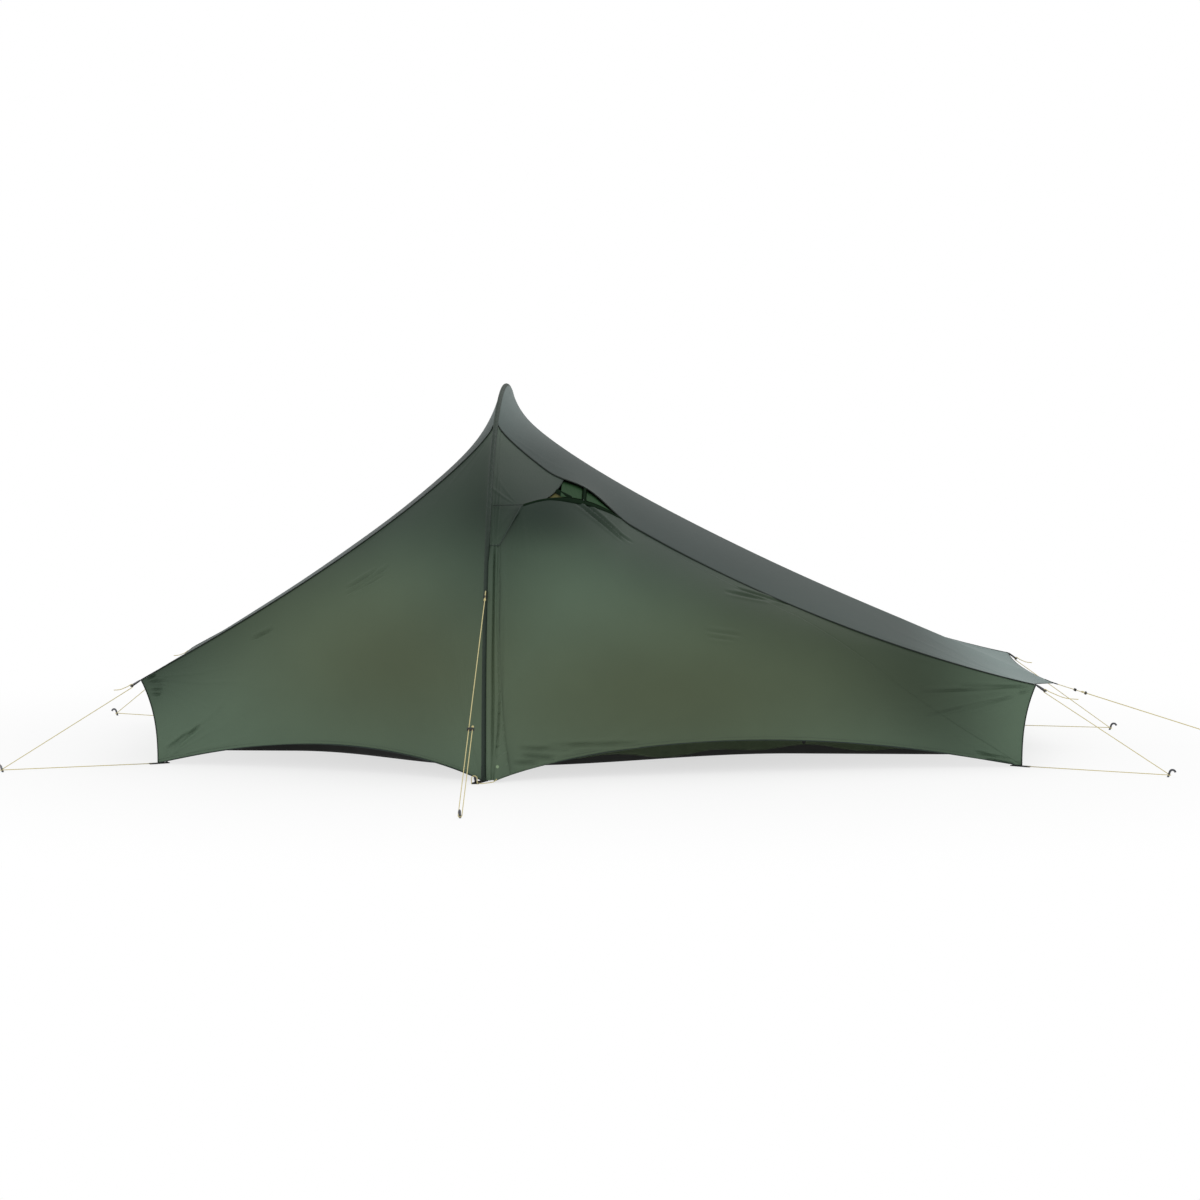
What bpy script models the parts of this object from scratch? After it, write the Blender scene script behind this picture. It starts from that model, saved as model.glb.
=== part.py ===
"""Single-hoop backpacking tent, pitched: fly, inner tent, pole, corner struts, guylines and pegs.

Metres, +Z up. The hoop stands in the plane X = 0, the ground is Z = 0, and the door faces -Y.
"""

import math

import bmesh
import bpy
from mathutils import Matrix, Vector

# Cloth, clearances and seams
CLOTH = 0.0007
GAP = 0.0003
SEAM_TUCK = 0.0010
CORNER_TUCK = 0.0014

# Hoop, pole and sleeve
HOOP_HALF_SPAN = 0.810
HOOP_TOP = 1.059
CROWN_ROUNDNESS = 0.926
SLEEVE_RADIUS = 0.0058
SLEEVE_END = 0.030
POLE_SECTIONS = 6
POLE_RADIUS = 0.00425
POLE_WALL = 0.00065
INSERT_RADIUS = 0.0030
INSERT_LENGTH = 0.040
TIP_LENGTH = 0.020
TIP_RADIUS = 0.0028
SHOCK_CORD_RADIUS = 0.0013

# Roof between the two long seams
ROOF_HALF_WIDTH = 0.400
LEFT_SPIRE = 0.040
RIGHT_SPIRE = 0.026
LEFT_CROWN = 0.036
RIGHT_CROWN = 0.066
LEFT_CROWN_FADE = 1.5
RIGHT_CROWN_FADE = 2.6
LEFT_SAG = 0.063
LEFT_SAG_AT = 0.353
RIGHT_SAG = 0.112
RIGHT_SAG_AT = 0.420
SAG_SHARPNESS = 1.65
RIGHT_AWNING = 0.096
LEFT_AWNING = -0.025
AWNING_DROP = 0.045
AWNING_CURVE = 2.0

# Ends of the fly
LEFT_CORNER_HEIGHT = 0.236
RIGHT_CORNER_HEIGHT = 0.229
LEFT_FOOT = 0.940
LEFT_FRONT_REACH = 0.985
LEFT_REAR_REACH = 1.040
LEFT_HALF_WIDTH = 0.508
RIGHT_FOOT = 1.465
RIGHT_FRONT_REACH = 1.501
RIGHT_REAR_REACH = 1.538
RIGHT_HALF_WIDTH = 0.4675
CORNER_FLARE = 2.6
END_WALL_BOW = 0.030
END_WALL_DROP = 0.003

# Lower hem
HEM_LIFT = 0.004
LEFT_HEM_RISE = 0.068
RIGHT_HEM_RISE = 0.083
HEM_BOW = 0.055
HEM_PEAK_AT = 0.46
END_HEM_RISE = 0.030

# Door, its zip, the hood over it and the vent
ZIP_TAPE_WIDTH = 0.024
ZIP_TAPE_THICKNESS = 0.0012
ZIP_TOP_HEIGHT = 0.632
DOOR_PEAK = (0.087, -0.590, 0.728)
DOOR_TOP_RISE = 0.037
DOOR_PEAK_SAG = 0.004
DOOR_FOLD_TUCK = 0.0009
DOOR_CORNER_TUCK = 0.010
FIXED_WALL_TUCK = (0.006, 0.004)
HOOD_REACH = 0.190
HOOD_ABOVE_ZIP = 0.004
HOOD_TIP_OFFSET = (-0.002, -0.002, 0.006)
HOOD_EDGE_LIFT = (0.0, 0.0, 0.006)
HOOD_MOUTH_BELLY = (0.010, -0.012, -0.010)
VENT_REACH = 0.352
VENT_LIFT = 0.027
VENT_WAVE_MARGINS = (0.050, 0.030)
PROP_REACH = 0.250
PROP_RADIUS = 0.0025
PROP_HEADROOM = 0.0046
PROP_SEAT = 0.0035
TOGGLE_REACH = 0.640
TOGGLE_RADIUS = 0.0032
TOGGLE_LENGTH = 0.016
TOGGLE_DROP = 0.006
SLIDER_HEIGHT = 0.055
SLIDER_THICKNESS = 0.0030
SLIDER_WIDTH = 0.010
SLIDER_LENGTH = 0.018
SLIDER_PULL_WIDTH = 0.007
SLIDER_PULL_LENGTH = 0.024
SLIDER_NECK = 0.003
ZIP_TAPE_ENDS = (0.008, 0.002)

# Inner tent
FLOOR_HALF_WIDTH_HOOP = 0.510
FLOOR_HALF_WIDTH_END = 0.220
FLOOR_LEFT = 0.850
FLOOR_RIGHT = 1.360
FLOOR_LEFT_TAPER = 0.600
FLOOR_RIGHT_TAPER = 0.850
TUB_HEIGHT = 0.070
TUB_FLARE = 0.020
TUB_CLOTH = 0.0012
INNER_CLEARANCE = 0.055
INNER_CROWN = 0.040
INNER_WALL_STEEPNESS = 0.75
INNER_TOP_FULLNESS = 0.9
INNER_DOOR_START = 0.050
INNER_DOOR_STOP = 0.460
INNER_DOOR_GAP = 0.0010

# Corner struts, feet and line locks
STRUT_RADIUS = 0.0030
STRUT_INSET = (0.022, 0.014)
STRUT_HEADROOM = 0.0035
FOOT_WIDTH = 0.016
FOOT_THICKNESS = 0.0020
FOOT_LEVEL = 0.0010
FOOT_REACH = 0.024
FOOT_NOTCH = 0.010
LOCK_LENGTH = 0.031
LOCK_WIDTH = 0.015
LOCK_WEBBING_WIDTH = 0.012
LOCK_WEBBING_LENGTH = 0.016
LOCK_THICKNESS = 0.0034
LOCK_BAR = 0.0052
LOCK_SLOT = 0.0038
STRAP_WIDTH = 0.020
STRAP_THICKNESS = 0.0016
STRAP_END = 0.016
STRAP_HOLE = 0.0044

# Guylines
CORD_DIAMETER = 0.0022
CORD_TURN = 0.0046
LEFT_FRONT_PEG = (-1.330, -0.679)
LEFT_REAR_PEG = (-1.318, 0.615)
RIGHT_FRONT_PEG = (1.834, -0.645)
RIGHT_REAR_PEG = (1.842, 0.372)
HOOP_PEG_REACH = 1.408
HOOP_PEG_SHIFT = -0.006
FOOT_PEG_SHIFT = -0.020
FOOT_PEG_BEYOND_HOOP = 0.028
END_PEG_REACH = 2.180
HOOP_GUY_HEIGHT = 0.500
HOOP_LOCK_AT = 0.535
END_LOCK_AT = 0.098
END_TOGGLE_AT = 0.065
LOCK_RING_WIDTH = 0.019
LOCK_RING_HEIGHT = 0.009
LOCK_RING_SLOT = 0.013
LOCK_RING_THICKNESS = 0.004
GUY_TOGGLE_WIDTH = 0.022
GUY_TOGGLE_HEIGHT = 0.0075
GUY_TOGGLE_THICKNESS = 0.005
KNOT_REACH = 0.010
SHORT_TAIL = 0.040
LONG_TAIL = 0.085
TAIL_DROOP = 0.25
CORD_RADIUS = CORD_DIAMETER / 2

# Pegs
PEG_RADIUS = 0.0030
PEG_DEPTH = 0.150
PEG_NECK = 0.015
PEG_HOOK = 0.008
PEG_POINT = 0.020
PEG_CORD_HEIGHT = 0.006
PEG_LEAN = math.radians(18)
PEG_HOOK_TURN = math.radians(150)
PEG_HOOK_STEPS = 7

FRONT, REAR = -1, 1
V_EDGE = 1 - SEAM_TUCK / ROOF_HALF_WIDTH
HOOP_EDGE = SLEEVE_RADIUS + CLOTH / 2 + GAP
ZIP_EDGE = HOOP_EDGE + ZIP_TAPE_WIDTH + GAP


class End:
    """One half of the tent, from the hoop to its left or right end."""

    def __init__(self, sign, foot, front, rear, half_width, corner_height, sag, sag_at,
                 crown, fade, spire, awning, hem_rise):
        self.sign = sign
        self.foot = foot
        self.front = front
        self.rear = rear
        self.half_width = half_width
        self.corner_height = corner_height
        self.sag = sag
        self.sag_at = sag_at
        self.crown = crown
        self.fade = fade
        self.spire = spire
        self.awning = awning
        self.hem_rise = hem_rise

    def reach(self, side):
        return self.front if side == FRONT else self.rear

    def foot_reach(self, side):
        """The rear corners stand a little further out, at the foot as at the top."""
        return self.foot + (self.reach(side) - self.front)


LEFT = End(-1, LEFT_FOOT, LEFT_FRONT_REACH, LEFT_REAR_REACH, LEFT_HALF_WIDTH,
           LEFT_CORNER_HEIGHT, LEFT_SAG, LEFT_SAG_AT, LEFT_CROWN, LEFT_CROWN_FADE, LEFT_SPIRE,
           LEFT_AWNING, LEFT_HEM_RISE)
RIGHT = End(1, RIGHT_FOOT, RIGHT_FRONT_REACH, RIGHT_REAR_REACH, RIGHT_HALF_WIDTH,
            RIGHT_CORNER_HEIGHT, RIGHT_SAG, RIGHT_SAG_AT, RIGHT_CROWN, RIGHT_CROWN_FADE,
            RIGHT_SPIRE, RIGHT_AWNING, RIGHT_HEM_RISE)


# Small helpers

def mix(a, b, t):
    return a + (b - a) * t


def steps(count, power=1.0):
    return [(i / count) ** power for i in range(count + 1)]


def bump(t, peak, sharpness=2.0):
    """Zero at 0 and 1, one at the peak, steeper on the nearer side."""
    if t <= 0 or t >= 1:
        return 0.0
    rising = (t / peak) ** (sharpness * peak)
    falling = ((1 - t) / (1 - peak)) ** (sharpness * (1 - peak))
    return rising * falling


def coons(bottom, top, left, right):
    """Grid of points that fills four edges; all four run from the lower left corner outwards."""
    columns, rows = len(bottom) - 1, len(left) - 1
    grid = []
    for j in range(rows + 1):
        v = j / rows
        row = []
        for i in range(columns + 1):
            u = i / columns
            ruled = mix(bottom[i], top[i], v) + mix(left[j], right[j], u)
            corners = mix(mix(bottom[0], bottom[-1], u), mix(top[0], top[-1], u), v)
            row.append(ruled - corners)
        grid.append(row)
    return grid


def smooth_curve(route, per_span):
    """Points on a smooth curve through the route's own points."""
    padded = [2 * route[0] - route[1]] + list(route) + [2 * route[-1] - route[-2]]
    found = []
    for before, start, stop, after in zip(padded, padded[1:], padded[2:], padded[3:]):
        leave, arrive = (stop - before) / 2, (after - start) / 2
        for k in range(per_span):
            t = k / per_span
            found.append(start * (2 * t ** 3 - 3 * t ** 2 + 1) + leave * (t ** 3 - 2 * t ** 2 + t)
                         + stop * (3 * t ** 2 - 2 * t ** 3) + arrive * (t ** 3 - t ** 2))
    found.append(route[-1])
    return found


def half_turn(centre, start, past, radius, count=6):
    """Half circle from the start side of a centre, round past it, to the other side."""
    angles = [math.pi * k / count for k in range(count + 1)]
    return [centre + (start * math.cos(a) + past * math.sin(a)) * radius for a in angles]


def mirrored(half):
    """Closed outline from one side's points, mirrored across the Y axis."""
    return half + [(-x, y) for x, y in reversed(half)]


# Scene, materials and object builders

def clear_scene():
    for obj in list(bpy.data.objects):
        bpy.data.objects.remove(obj, do_unlink=True)


def material(name, finish):
    colour, roughness, metallic = finish
    made = bpy.data.materials.new(name)
    made.use_nodes = True
    shader = made.node_tree.nodes["Principled BSDF"]
    shader.inputs["Base Color"].default_value = (*colour, 1.0)
    shader.inputs["Roughness"].default_value = roughness
    shader.inputs["Metallic"].default_value = metallic
    made.diffuse_color = (*colour, 1.0)
    return made


def link(name, data, finish):
    """Adds a piece to the tent's collection, with a material of its own."""
    obj = bpy.data.objects.new(name, data)
    if not data.materials:
        data.materials.append(None)
    bpy.data.collections["backpacking_tent"].objects.link(obj)
    obj.material_slots[0].link = "OBJECT"
    obj.material_slots[0].material = material(name, finish)
    return obj


def hang_on_axis(obj, point):
    """Gives a moving piece a parent empty on the axis that it moves about."""
    axis = bpy.data.objects.new(obj.name + "_axis", None)
    axis.empty_display_size = 0.03
    axis.location = point
    bpy.data.collections["backpacking_tent"].objects.link(axis)
    obj.parent = axis
    obj.matrix_parent_inverse = Matrix.Translation(point).inverted()


def cloth_panel(name, grid, finish, thickness=CLOTH, offset=0.0, holes=()):
    """A sheet through a grid of points, given its thickness; holes lists cells that stay open."""
    rows, columns = len(grid) - 1, len(grid[0]) - 1
    bm = bmesh.new()
    bmesh.ops.create_grid(bm, x_segments=columns, y_segments=rows, size=1.0)
    for face in list(bm.faces):
        centre = face.calc_center_median()
        cell = (int((centre.x + 1) / 2 * columns), int((centre.y + 1) / 2 * rows))
        if cell in holes:
            bm.faces.remove(face)
    for vert in bm.verts:
        i = round((vert.co.x + 1) / 2 * columns)
        j = round((vert.co.y + 1) / 2 * rows)
        vert.co = grid[j][i]
    loose = [vert for vert in bm.verts if not vert.link_faces]
    bmesh.ops.delete(bm, geom=loose, context="VERTS")
    bmesh.ops.remove_doubles(bm, verts=bm.verts, dist=1e-6)
    bmesh.ops.recalc_face_normals(bm, faces=bm.faces)
    mesh = bpy.data.meshes.new(name)
    bm.to_mesh(mesh)
    bm.free()
    mesh.shade_smooth()
    obj = link(name, mesh, finish)
    solidify = obj.modifiers.new("cloth thickness", "SOLIDIFY")
    solidify.thickness = thickness
    solidify.offset = offset
    return obj


def tube(name, points, radii, finish, bevel_resolution=2, caps=True):
    """A round tube along points, with one radius or one for each point."""
    curve = bpy.data.curves.new(name, "CURVE")
    curve.dimensions = "3D"
    curve.bevel_depth = 1.0
    curve.bevel_resolution = bevel_resolution
    curve.use_fill_caps = caps
    spline = curve.splines.new("POLY")
    spline.points.add(len(points) - 1)
    if isinstance(radii, float):
        radii = [radii] * len(points)
    for target, point, radius in zip(spline.points, points, radii):
        target.co = (*point, 1.0)
        target.radius = radius
    return link(name, curve, finish)


def flat_plate(name, outlines, thickness, finish, matrix):
    """A plate cut to closed outlines in its own XY plane; the inner outlines are holes."""
    curve = bpy.data.curves.new(name, "CURVE")
    curve.dimensions = "2D"
    curve.fill_mode = "BOTH"
    curve.extrude = thickness / 2
    for outline in outlines:
        spline = curve.splines.new("POLY")
        spline.points.add(len(outline) - 1)
        for target, point in zip(spline.points, outline):
            target.co = (point[0], point[1], 0.0, 1.0)
        spline.use_cyclic_u = True
    obj = link(name, curve, finish)
    obj.matrix_world = matrix
    return obj


def rounded_box(x0, x1, y0, y1, corner, turn_steps=3):
    """Outline of a rectangle with round corners, anticlockwise."""
    centres = ((x1 - corner, y1 - corner, 0), (x0 + corner, y1 - corner, 90),
               (x0 + corner, y0 + corner, 180), (x1 - corner, y0 + corner, 270))
    outline = []
    for cx, cy, start in centres:
        for k in range(turn_steps + 1):
            angle = math.radians(start + 90 * k / turn_steps)
            outline.append((cx + corner * math.cos(angle), cy + corner * math.sin(angle)))
    return outline


def circle(cx, cy, radius, sides=10):
    turn = 2 * math.pi / sides
    return [(cx + radius * math.cos(k * turn), cy + radius * math.sin(k * turn))
            for k in range(sides)]


def ribbon(path, width, notch=0.0, notch_width=0.0):
    """Outline of a flat strap that follows a path in plan, with a notch in its far end."""
    left, right = [], []
    for i, point in enumerate(path):
        before = path[max(i - 1, 0)]
        after = path[min(i + 1, len(path) - 1)]
        along = (after - before).normalized()
        across = Vector((-along.y, along.x))
        left.append(point + across * (width / 2))
        right.append(point - across * (width / 2))
    cut = []
    if notch:
        mouth = across * (notch_width / 2)
        root = path[-1] - along * notch
        cut = [path[-1] - mouth, root - mouth, root + mouth, path[-1] + mouth]
    return right + cut + left[::-1]


def axes_matrix(origin, x_axis, z_axis):
    """Matrix with the given origin and X axis; Z is as near to z_axis as a right angle allows."""
    x_axis = x_axis.normalized()
    y_axis = z_axis.cross(x_axis).normalized()
    turn = Matrix((x_axis, y_axis, x_axis.cross(y_axis))).transposed()
    return Matrix.Translation(origin) @ turn.to_4x4()


# Hoop: a large arc for each leg and a smaller one over the top

CROWN_RADIUS = CROWN_ROUNDNESS * HOOP_HALF_SPAN
LEG_RADIUS = ((HOOP_HALF_SPAN ** 2 + (HOOP_TOP - CROWN_RADIUS) ** 2 - CROWN_RADIUS ** 2)
              / (2 * (HOOP_HALF_SPAN - CROWN_RADIUS)))
LEG_CENTRE = HOOP_HALF_SPAN - LEG_RADIUS
CROWN_CENTRE = HOOP_TOP - CROWN_RADIUS
JOIN_ANGLE = math.atan2(CROWN_CENTRE, -LEG_CENTRE)
LEG_ARC = LEG_RADIUS * JOIN_ANGLE
HALF_POLE = LEG_ARC + CROWN_RADIUS * (math.pi / 2 - JOIN_ANGLE)


def hoop_point(length, x=0.0, side=FRONT):
    """Point on the hoop at this arc length from the foot on that side."""
    if length > HALF_POLE:
        return hoop_point(2 * HALF_POLE - length, x, -side)
    if length <= LEG_ARC:
        angle = length / LEG_RADIUS
        y = LEG_CENTRE + LEG_RADIUS * math.cos(angle)
        z = LEG_RADIUS * math.sin(angle)
    else:
        angle = JOIN_ANGLE + (length - LEG_ARC) / CROWN_RADIUS
        y = CROWN_RADIUS * math.cos(angle)
        z = CROWN_CENTRE + CROWN_RADIUS * math.sin(angle)
    return Vector((x, side * y, z))


def hoop_height(y):
    """Height of the hoop over a place between its feet."""
    y = abs(y)
    if y < CROWN_RADIUS * math.cos(JOIN_ANGLE):
        return CROWN_CENTRE + math.sqrt(CROWN_RADIUS ** 2 - y ** 2)
    return math.sqrt(max(LEG_RADIUS ** 2 - (y - LEG_CENTRE) ** 2, 0.0))


def hoop_length_at(height):
    """Arc length from the foot to a height."""
    if height <= LEG_RADIUS * math.sin(JOIN_ANGLE):
        return LEG_RADIUS * math.asin(height / LEG_RADIUS)
    angle = math.asin((height - CROWN_CENTRE) / CROWN_RADIUS)
    return LEG_ARC + CROWN_RADIUS * (angle - JOIN_ANGLE)


SEAM_TOP = hoop_height(ROOF_HALF_WIDTH)
SEAM_LENGTH = hoop_length_at(SEAM_TOP)
HOOP_CROWN = HOOP_TOP - SEAM_TOP


# Fly surfaces. s runs from the hoop to the end, v across the roof or up a wall.

def roof(end, s, v):
    y = v * mix(ROOF_HALF_WIDTH, end.half_width, s)
    edge = mix(end.front, end.rear, (1 + v) / 2) + end.awning * (1 - abs(v)) ** AWNING_CURVE
    x = mix(HOOP_EDGE, edge, s)
    arch = (hoop_height(v * ROOF_HALF_WIDTH) - SEAM_TOP) / HOOP_CROWN
    spire = (HOOP_CROWN - end.crown) * math.exp(-(x - HOOP_EDGE) / end.spire)
    crown = (spire + end.crown * (1 - max(s, 0.0) ** end.fade)) * arch
    z = mix(SEAM_TOP, end.corner_height, s) - end.sag * bump(s, end.sag_at, SAG_SHARPNESS) + crown
    if end is RIGHT:
        z -= AWNING_DROP * (1 - abs(v)) * s ** 4
        z += VENT_LIFT * vent_wave(x) * max(-v, 0.0) ** 4
    return Vector((end.sign * x, y, z))


def vent_wave(x):
    """The roof's edge arches over the vent, between the hood and the door's fold."""
    lead, trail = VENT_WAVE_MARGINS
    start, stop = HOOD_REACH - lead, VENT_REACH + trail
    along = (x - start) / (stop - start)
    return math.sin(math.pi * along) ** 2 if 0 < along < 1 else 0.0


def roof_normal(end, s, v):
    step = 1e-4
    along = roof(end, s + step, v) - roof(end, s - step, v)
    across = roof(end, s, v + step) - roof(end, s, v - step)
    normal = along.cross(across).normalized()
    return normal if normal.z > 0 else -normal


def under_roof(end, s, v):
    """The place of a wall's top edge, just under the roof's cloth and clear of the sleeve."""
    depth = CLOTH + 2 * GAP
    point = roof(end, s, v) - roof_normal(end, s, v) * depth
    short = HOOP_EDGE - abs(point.x)
    if short > 0:
        s += short / (end.front - HOOP_EDGE)
        point = roof(end, s, v) - roof_normal(end, s, v) * depth
        point.x = end.sign * max(abs(point.x), HOOP_EDGE)
    return point


def seam(end, side, s):
    return under_roof(end, s, side * V_EDGE)


def hem(end, side, s, start=HOOP_EDGE):
    x = mix(start, end.foot_reach(side), s)
    y = mix(HOOP_HALF_SPAN, end.half_width, s) - HEM_BOW * bump(s, 0.5)
    z = HEM_LIFT + end.hem_rise * bump(s, HEM_PEAK_AT)
    return Vector((end.sign * x, side * y, z))


def leg_edge(end, side, rows, start=HOOP_EDGE):
    """The wall's edge at the hoop, from hem to seam."""
    bottom, top = hem(end, side, 0.0, start), seam(end, side, 0.0)
    top.x = end.sign * start
    points = []
    for v in steps(rows):
        points.append(hoop_point(mix(HEM_LIFT, SEAM_LENGTH, v), end.sign * start, side))
    slip_low, slip_high = bottom - points[0], top - points[-1]
    return [p + mix(slip_low, slip_high, v) for p, v in zip(points, steps(rows))]


def corner_edge(end, side, rows):
    """The wall's edge at the corner, drawn outwards near its top by the guyline."""
    low = hem(end, side, 1.0)
    high = seam(end, side, 1.0)
    points = []
    for v in steps(rows):
        point = mix(low, high, v)
        point.x = mix(low.x, high.x, v ** CORNER_FLARE)
        points.append(point)
    return points


def wall_grid(end, side, stations, rows):
    top = [seam(end, side, s) for s in stations]
    bottom = [hem(end, side, s) for s in stations]
    return coons(bottom, top, leg_edge(end, side, rows), corner_edge(end, side, rows))


def end_wall_grid(end, columns, rows):
    """Wall between the two corners of an end, under the roof's awning or edge."""
    lanes = [mix(-1, 1, t) for t in steps(columns)]
    top, bottom = [], []
    for v in lanes:
        inward = END_WALL_BOW * (1 - v * v)
        reach = mix(end.front, end.rear, (1 + v) / 2) - inward
        edge = mix(end.front, end.rear, (1 + v) / 2) + end.awning * (1 - abs(v)) ** AWNING_CURVE
        s = (reach - HOOP_EDGE) / (edge - HOOP_EDGE)
        tucked = v * (1 - (CORNER_TUCK + SEAM_TUCK) / end.half_width)
        top.append(under_roof(end, min(s, 1.0), tucked) - Vector((0, 0, END_WALL_DROP)))
        foot = mix(end.foot_reach(FRONT), end.foot_reach(REAR), (1 + v) / 2) - inward
        width = end.half_width - CORNER_TUCK
        bottom.append(Vector((end.sign * foot, v * width,
                              HEM_LIFT + END_HEM_RISE * (1 - v * v))))
    edges = []
    for side, low, high in ((FRONT, bottom[0], top[0]), (REAR, bottom[-1], top[-1])):
        edge = []
        for v in steps(rows):
            point = mix(low, high, v)
            point.x = mix(low.x, high.x, v ** CORNER_FLARE)
            edge.append(point)
        edges.append(edge)
    return coons(bottom, top, edges[0], edges[1])


def station_of(end, reach):
    """s of a place along the front seam."""
    return (reach - HOOP_EDGE) / (end.front - HOOP_EDGE)


# Door, fold line, hood and fixed wall on the right of the front

def fold_line():
    """The straight fold that the door turns on: top end at the vent, low end at the corner."""
    high = seam(RIGHT, FRONT, station_of(RIGHT, VENT_REACH))
    low = hem(RIGHT, FRONT, 1.0)
    return high, low


def beside_fold(points, towards):
    """The fold's points moved off it, within the sheet, towards a place."""
    high, low = fold_line()
    along = (low - high).normalized()
    moved = []
    for point in points:
        away = towards - point
        away -= along * away.dot(along)
        moved.append(point + away.normalized() * DOOR_FOLD_TUCK)
    return moved


def hoop_zip_edge(x, low, high, count):
    return [hoop_point(mix(low, high, t), x) for t in steps(count)]


def door_grid(columns, leg_rows, peak_rows):
    high, low = fold_line()
    along = (low - high).normalized()
    fold_high = high + along * DOOR_CORNER_TUCK
    fold_low = low - along * DOOR_CORNER_TUCK
    rows = leg_rows + peak_rows
    zip_top = hoop_length_at(ZIP_TOP_HEIGHT)
    left = hoop_zip_edge(ZIP_EDGE, HEM_LIFT, zip_top, leg_rows)
    peak = Vector(DOOR_PEAK)
    for t in steps(peak_rows)[1:]:
        sag = Vector((0, 0, -DOOR_PEAK_SAG)) * bump(t, 0.5)
        left.append(mix(left[leg_rows], peak, t) + sag)
    right = beside_fold([mix(fold_low, fold_high, t) for t in steps(rows)], left[leg_rows])
    bottom, top = [], []
    start, stop = hem(RIGHT, FRONT, 0.0, ZIP_EDGE), hem(RIGHT, FRONT, 1.0, ZIP_EDGE)
    for s in steps(columns):
        slip = mix(left[0] - start, right[0] - stop, s)
        bottom.append(hem(RIGHT, FRONT, s, ZIP_EDGE) + slip)
        level = mix(peak, right[-1], s)
        rise = DOOR_TOP_RISE * bump(s, 0.5)
        top.append(level + Vector((0, 0, rise)))
    return coons(bottom, top, left, right)


def fixed_wall_grid(stations, rows):
    """Wall between the fold, the seam and the corner: three-sided, with a short blunt end."""
    high, low = fold_line()
    corner = corner_edge(RIGHT, FRONT, rows)
    along = (low - high).normalized()
    high_tuck, low_tuck = FIXED_WALL_TUCK
    fold_high, fold_low = high + along * high_tuck, low - along * low_tuck
    top = [seam(RIGHT, FRONT, s) for s in stations]
    first = stations[0]
    bottom = [mix(fold_high, fold_low, (s - first) / (1 - first)) for s in stations]
    bottom = beside_fold(bottom, corner[-1])
    left = [mix(bottom[0], top[0], v) for v in steps(rows)]
    slip = bottom[-1] - corner[0]
    right = [p + slip * (1 - v) for p, v in zip(corner, steps(rows))]
    return coons(bottom, top, left, right)


def hood_grid(stations, rows):
    """Hood over the door's peak: between hoop, roof seam and the door's zip."""
    zip_top = hoop_length_at(ZIP_TOP_HEIGHT)
    top = [seam(RIGHT, FRONT, s) for s in stations]
    low = zip_top + HOOD_ABOVE_ZIP
    left = [hoop_point(mix(low, SEAM_LENGTH, v), HOOP_EDGE) for v in steps(rows)]
    slip = top[0] - left[-1]
    left = [p + slip * v for p, v in zip(left, steps(rows))]
    tip = Vector(DOOR_PEAK) + Vector(HOOD_TIP_OFFSET)
    lift, belly = Vector(HOOD_EDGE_LIFT), Vector(HOOD_MOUTH_BELLY)
    columns = len(stations) - 1
    bottom = [mix(left[0], tip, t) + lift * bump(t, 0.6) for t in steps(columns)]
    right = [mix(tip, top[-1], t) + belly * bump(t, 0.55) for t in steps(rows)]
    return coons(bottom, top, left, right)


# Inner tent

def floor_half_width(x):
    taper = FLOOR_RIGHT_TAPER if x > 0 else FLOOR_LEFT_TAPER
    t = min(abs(x) / taper, 1.0)
    wave = (1 + math.cos(math.pi * t)) / 2
    return mix(FLOOR_HALF_WIDTH_END, FLOOR_HALF_WIDTH_HOOP, wave)


def floor_tub_grid(stations):
    """Groundsheet tray: flat, with its border turned up."""
    columns = [stations[0] - TUB_FLARE] + list(stations) + [stations[-1] + TUB_FLARE]
    grid = []
    for lane in (-2, -1, 0, 1, 2):
        row = []
        for i, x in enumerate(columns):
            outer = abs(lane) == 2
            half = floor_half_width(min(max(x, stations[0]), stations[-1]))
            y = math.copysign(half + (TUB_FLARE if outer else 0), lane) if lane else 0.0
            turned_up = outer or i in (0, len(columns) - 1)
            row.append(Vector((x, y, TUB_HEIGHT if turned_up else 0.0)))
        grid.append(row)
    return grid


def inner_top(x):
    end = RIGHT if x > 0 else LEFT
    s = station_of(end, max(abs(x), HOOP_EDGE))
    return roof(end, s, -0.999).z - INNER_CLEARANCE + INNER_CROWN * (1 - min(s, 1.0))


def inner_arch(x, turn):
    """Point of the canopy's arch at X; turn runs from 0 at the front rim to 1 at the rear."""
    angle = math.pi * turn
    width = floor_half_width(x) + TUB_FLARE - TUB_CLOTH / 2
    rim = TUB_HEIGHT + TUB_CLOTH / 2 + GAP
    rise = inner_top(x) - rim
    across = math.copysign(abs(math.cos(angle)) ** INNER_WALL_STEEPNESS, math.cos(angle))
    return Vector((x, -width * across, rim + rise * math.sin(angle) ** INNER_TOP_FULLNESS))


def inner_canopy_grid(stations, turns):
    """Arches from rim to rim, with an upright end wall at each end."""
    columns = []
    for x, outward in ((stations[0], -1), (stations[-1], 1)):
        foot = [inner_arch(x, t) for t in turns]
        for point in foot:
            point.x += outward * (TUB_FLARE - TUB_CLOTH / 2)
            point.z = TUB_HEIGHT + TUB_CLOTH / 2 + GAP
        columns.append(foot)
    arches = [[inner_arch(x, t) for t in turns] for x in stations]
    columns = [columns[0]] + arches + [columns[1]]
    return [[column[j] for column in columns] for j in range(len(turns))]


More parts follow.
